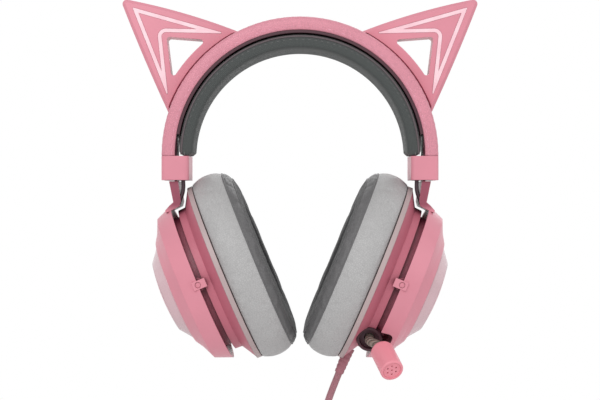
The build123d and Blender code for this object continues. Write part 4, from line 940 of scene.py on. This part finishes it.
held = np.isin(fine, SEAMS) | (fine >= BACK_FROM) | (fine <= BACK_TO)
cap = np.where(fine < SEAMS[0], 0.0013, np.where(fine < SEAMS[1], 0.0006, 0.00018))
shape = blown(first, held, cap)
pucker = np.zeros(len(fine))
for seam in SEAMS:
    pucker += np.exp(-((fine - seam) / 0.8) ** 2) * (fine != seam)
ripple = 0.12 * np.sin(t * 61) + 0.09 * np.sin(t * 37 + 1.3) + 0.06 * np.sin(t * 97 + 0.4)
normal_out = shape - on_cup(0.0, 0.0, CUSHION_BACK - 12.0)
normal_out /= np.linalg.norm(normal_out, axis=-1, keepdims=True)
shape = shape + normal_out * (ripple[:, None] * pucker[None] * MM)[..., None]
panel = np.where((fine < SEAMS[0]) | (fine >= BACK_FROM), 0, np.where(fine < SEAMS[1], 1, 2))
for side, label in ((1, "left"), (-1, "right")):
    grid = shape if side == 1 else mirrored(shape)
    cushion = skin(f"ear_cushion_soft_{label}", grid, [FINISH[key] for key in ("side", "bevel", "face")],
                   round_n=True, lay=(lengths(grid[:, 0], True), lengths(grid[0], True)), panel=panel)
    smooth = cushion.modifiers.new("smooth", "SUBSURF")
    smooth.levels = smooth.render_levels = 1
    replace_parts(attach(cushion, f"cup_{label}"), f"ear_cushion_{label}")
    print(cushion.name, len(cushion.data.polygons), "faces")

# %% [markdown]
# A seam is sewn with a welt, a thin cord covered in the same leatherette. It runs round the oval
# in the seam's groove.

# %% Welts at the cushion's seams
for seam, radius in ((4, 0.0004), (9, 0.0003)):
    column = int(np.nonzero(fine == seam)[0][0])
    for side, label in ((1, "left"), (-1, "right")):
        line, up = (part[:, column] if side == 1 else mirrored(part[:, column]) for part in (shape, normal_out))
        ahead = np.roll(line, -1, axis=0) - np.roll(line, 1, axis=0)
        ahead /= np.linalg.norm(ahead, axis=1)[:, None]
        up = up - (up * ahead).sum(axis=1)[:, None] * ahead
        up /= np.linalg.norm(up, axis=1)[:, None]
        across = np.cross(ahead, up)
        s = np.arange(12) * pi / 6
        out_of_seam = np.cos(s)[:, None] * across[:, None] + (np.sin(s) + 0.3)[:, None] * up[:, None]
        welt = line[:, None] + radius * out_of_seam
        piece = skin(f"cushion_welt_{seam}_{label}", welt, [FINISH["bevel"]], round_n=True,
                     lay=(lengths(line, True), np.linspace(0, 2 * pi * radius, 13)))
        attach(piece, f"cup_{label}")

# %% [markdown]
# ## Speaker cloth
#
# Behind the cushion's hole a thin cloth covers the driver. It is a stretched disc, slightly
# bowed towards the ear, made as rings from its rim to its middle.

# %% Speaker cloth
rings = np.array([1.0, 0.995, 0.97, 0.8, 0.6, 0.4, 0.2, 0.004])
bow = 0.25 * (1 - rings ** 2)
t = np.linspace(0, 2 * pi, 96, endpoint=False)
share = np.concatenate([rings[::-1], rings])[:, None]
up_cup, to_front = share * 31.6 * np.cos(t), share * 26.1 * np.sin(t)  # the oval's half sizes in mm
two_faces = np.concatenate([-16.75 - bow[::-1], -16.45 - bow])[:, None]
cloth_grid = on_cup(up_cup, to_front, two_faces + 0 * t)
flat = np.stack([up_cup.ravel(), to_front.ravel()], axis=1) * MM
for side, label in ((1, "left"), (-1, "right")):
    grid = cloth_grid if side == 1 else mirrored(cloth_grid)
    sheet = skin(f"speaker_cloth_stretched_{label}", grid, [FINISH["cloth"]], caps=True)
    corner = np.zeros(len(sheet.data.loops), np.int32)
    sheet.data.loops.foreach_get("vertex_index", corner)
    sheet.data.uv_layers.new(name="lay").data.foreach_set("uv", flat[corner].astype(np.float32).ravel())
    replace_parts(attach(sheet, f"cup_{label}"), f"speaker_cloth_{label}")

# %% [markdown]
# ## Link wires
#
# A short wire crosses from each end sleeve to the arm that slides in it. It is a thin tube along a smooth line.

# %% Link wires
wire_points = np.array([(64.6, -12, -4), (64.0, -12, -13.2), (63.8, -12, -18.4), (65.1, -12, -23),
                        (67.0, -12, -26.8)])
wire_points[:, 2] += arch_z / MM
for side, label in ((1, "left"), (-1, "right")):
    line = line_of(wire_points * MM * np.array([side, 1, 1]))
    wire = tube(f"link_wire_{label}", line, 0.0011, [FINISH["wire"]], 14)
    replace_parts(wire, f"link_cable_{label}")
    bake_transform(wire)
print("link wires drawn")

# %% [markdown]
# ## Floor, light and finish
#
# A pale floor lies below the plug. Soft light comes from all round, with three panels that
# shape the shells. The background is white to the camera and in reflections.

# %% Floor and lights
floor_z = cad_box[0][2] - 0.02
floor_corners = [(x, y, floor_z) for x, y in ((-1.6, -1.6), (1.6, -1.6), (1.6, 1.2), (-1.6, 1.2))]
floor_mesh = bpy.data.meshes.new("floor")
floor_mesh.from_pydata(floor_corners, [], [(0, 1, 2, 3)])
floor = bpy.data.objects.new("floor", floor_mesh)
bpy.context.scene.collection.objects.link(floor)
floor_mesh.materials.append(moulded("pale floor", colour(244, 244, 244), rough=0.8, patch=0.004))

world = bpy.data.worlds.new("studio")
bpy.context.scene.world = world
world.use_nodes = True
sky = world.node_tree
background = sky.nodes["Background"]
background.inputs["Color"].default_value = (1, 1, 1, 1)
path = add(sky, "ShaderNodeLightPath").outputs
WORLD = 0.55  # light from all round, and 1.0 where it is seen
seen = calc(sky, "MAXIMUM", path["Is Camera Ray"], path["Is Glossy Ray"])
seen = calc(sky, "MAXIMUM", seen, path["Is Transmission Ray"])
sky.links.new(calc(sky, "MULTIPLY_ADD", seen, 1.0 - WORLD, WORLD), background.inputs["Strength"])


def soft_panel(name, place, towards, size, power):
    """A square area light that faces a point."""
    lamp = bpy.data.lights.new(name, "AREA")
    lamp.shape, lamp.size, lamp.energy = "SQUARE", size, power
    holder = bpy.data.objects.new(name, lamp)
    bpy.context.scene.collection.objects.link(holder)
    holder.location = place
    holder.rotation_euler = (Vector(towards) - Vector(place)).to_track_quat("-Z", "Y").to_euler()


soft_panel("key", (-0.3, -1.1, 0.55), (0, 0, -0.1), 0.7, 5.6)
soft_panel("fill", (0.9, -0.5, 0.1), (0, 0, -0.1), 0.7, 1.0)
soft_panel("back", (0.2, 1.0, 0.6), (0, 0, -0.1), 0.9, 3.0)
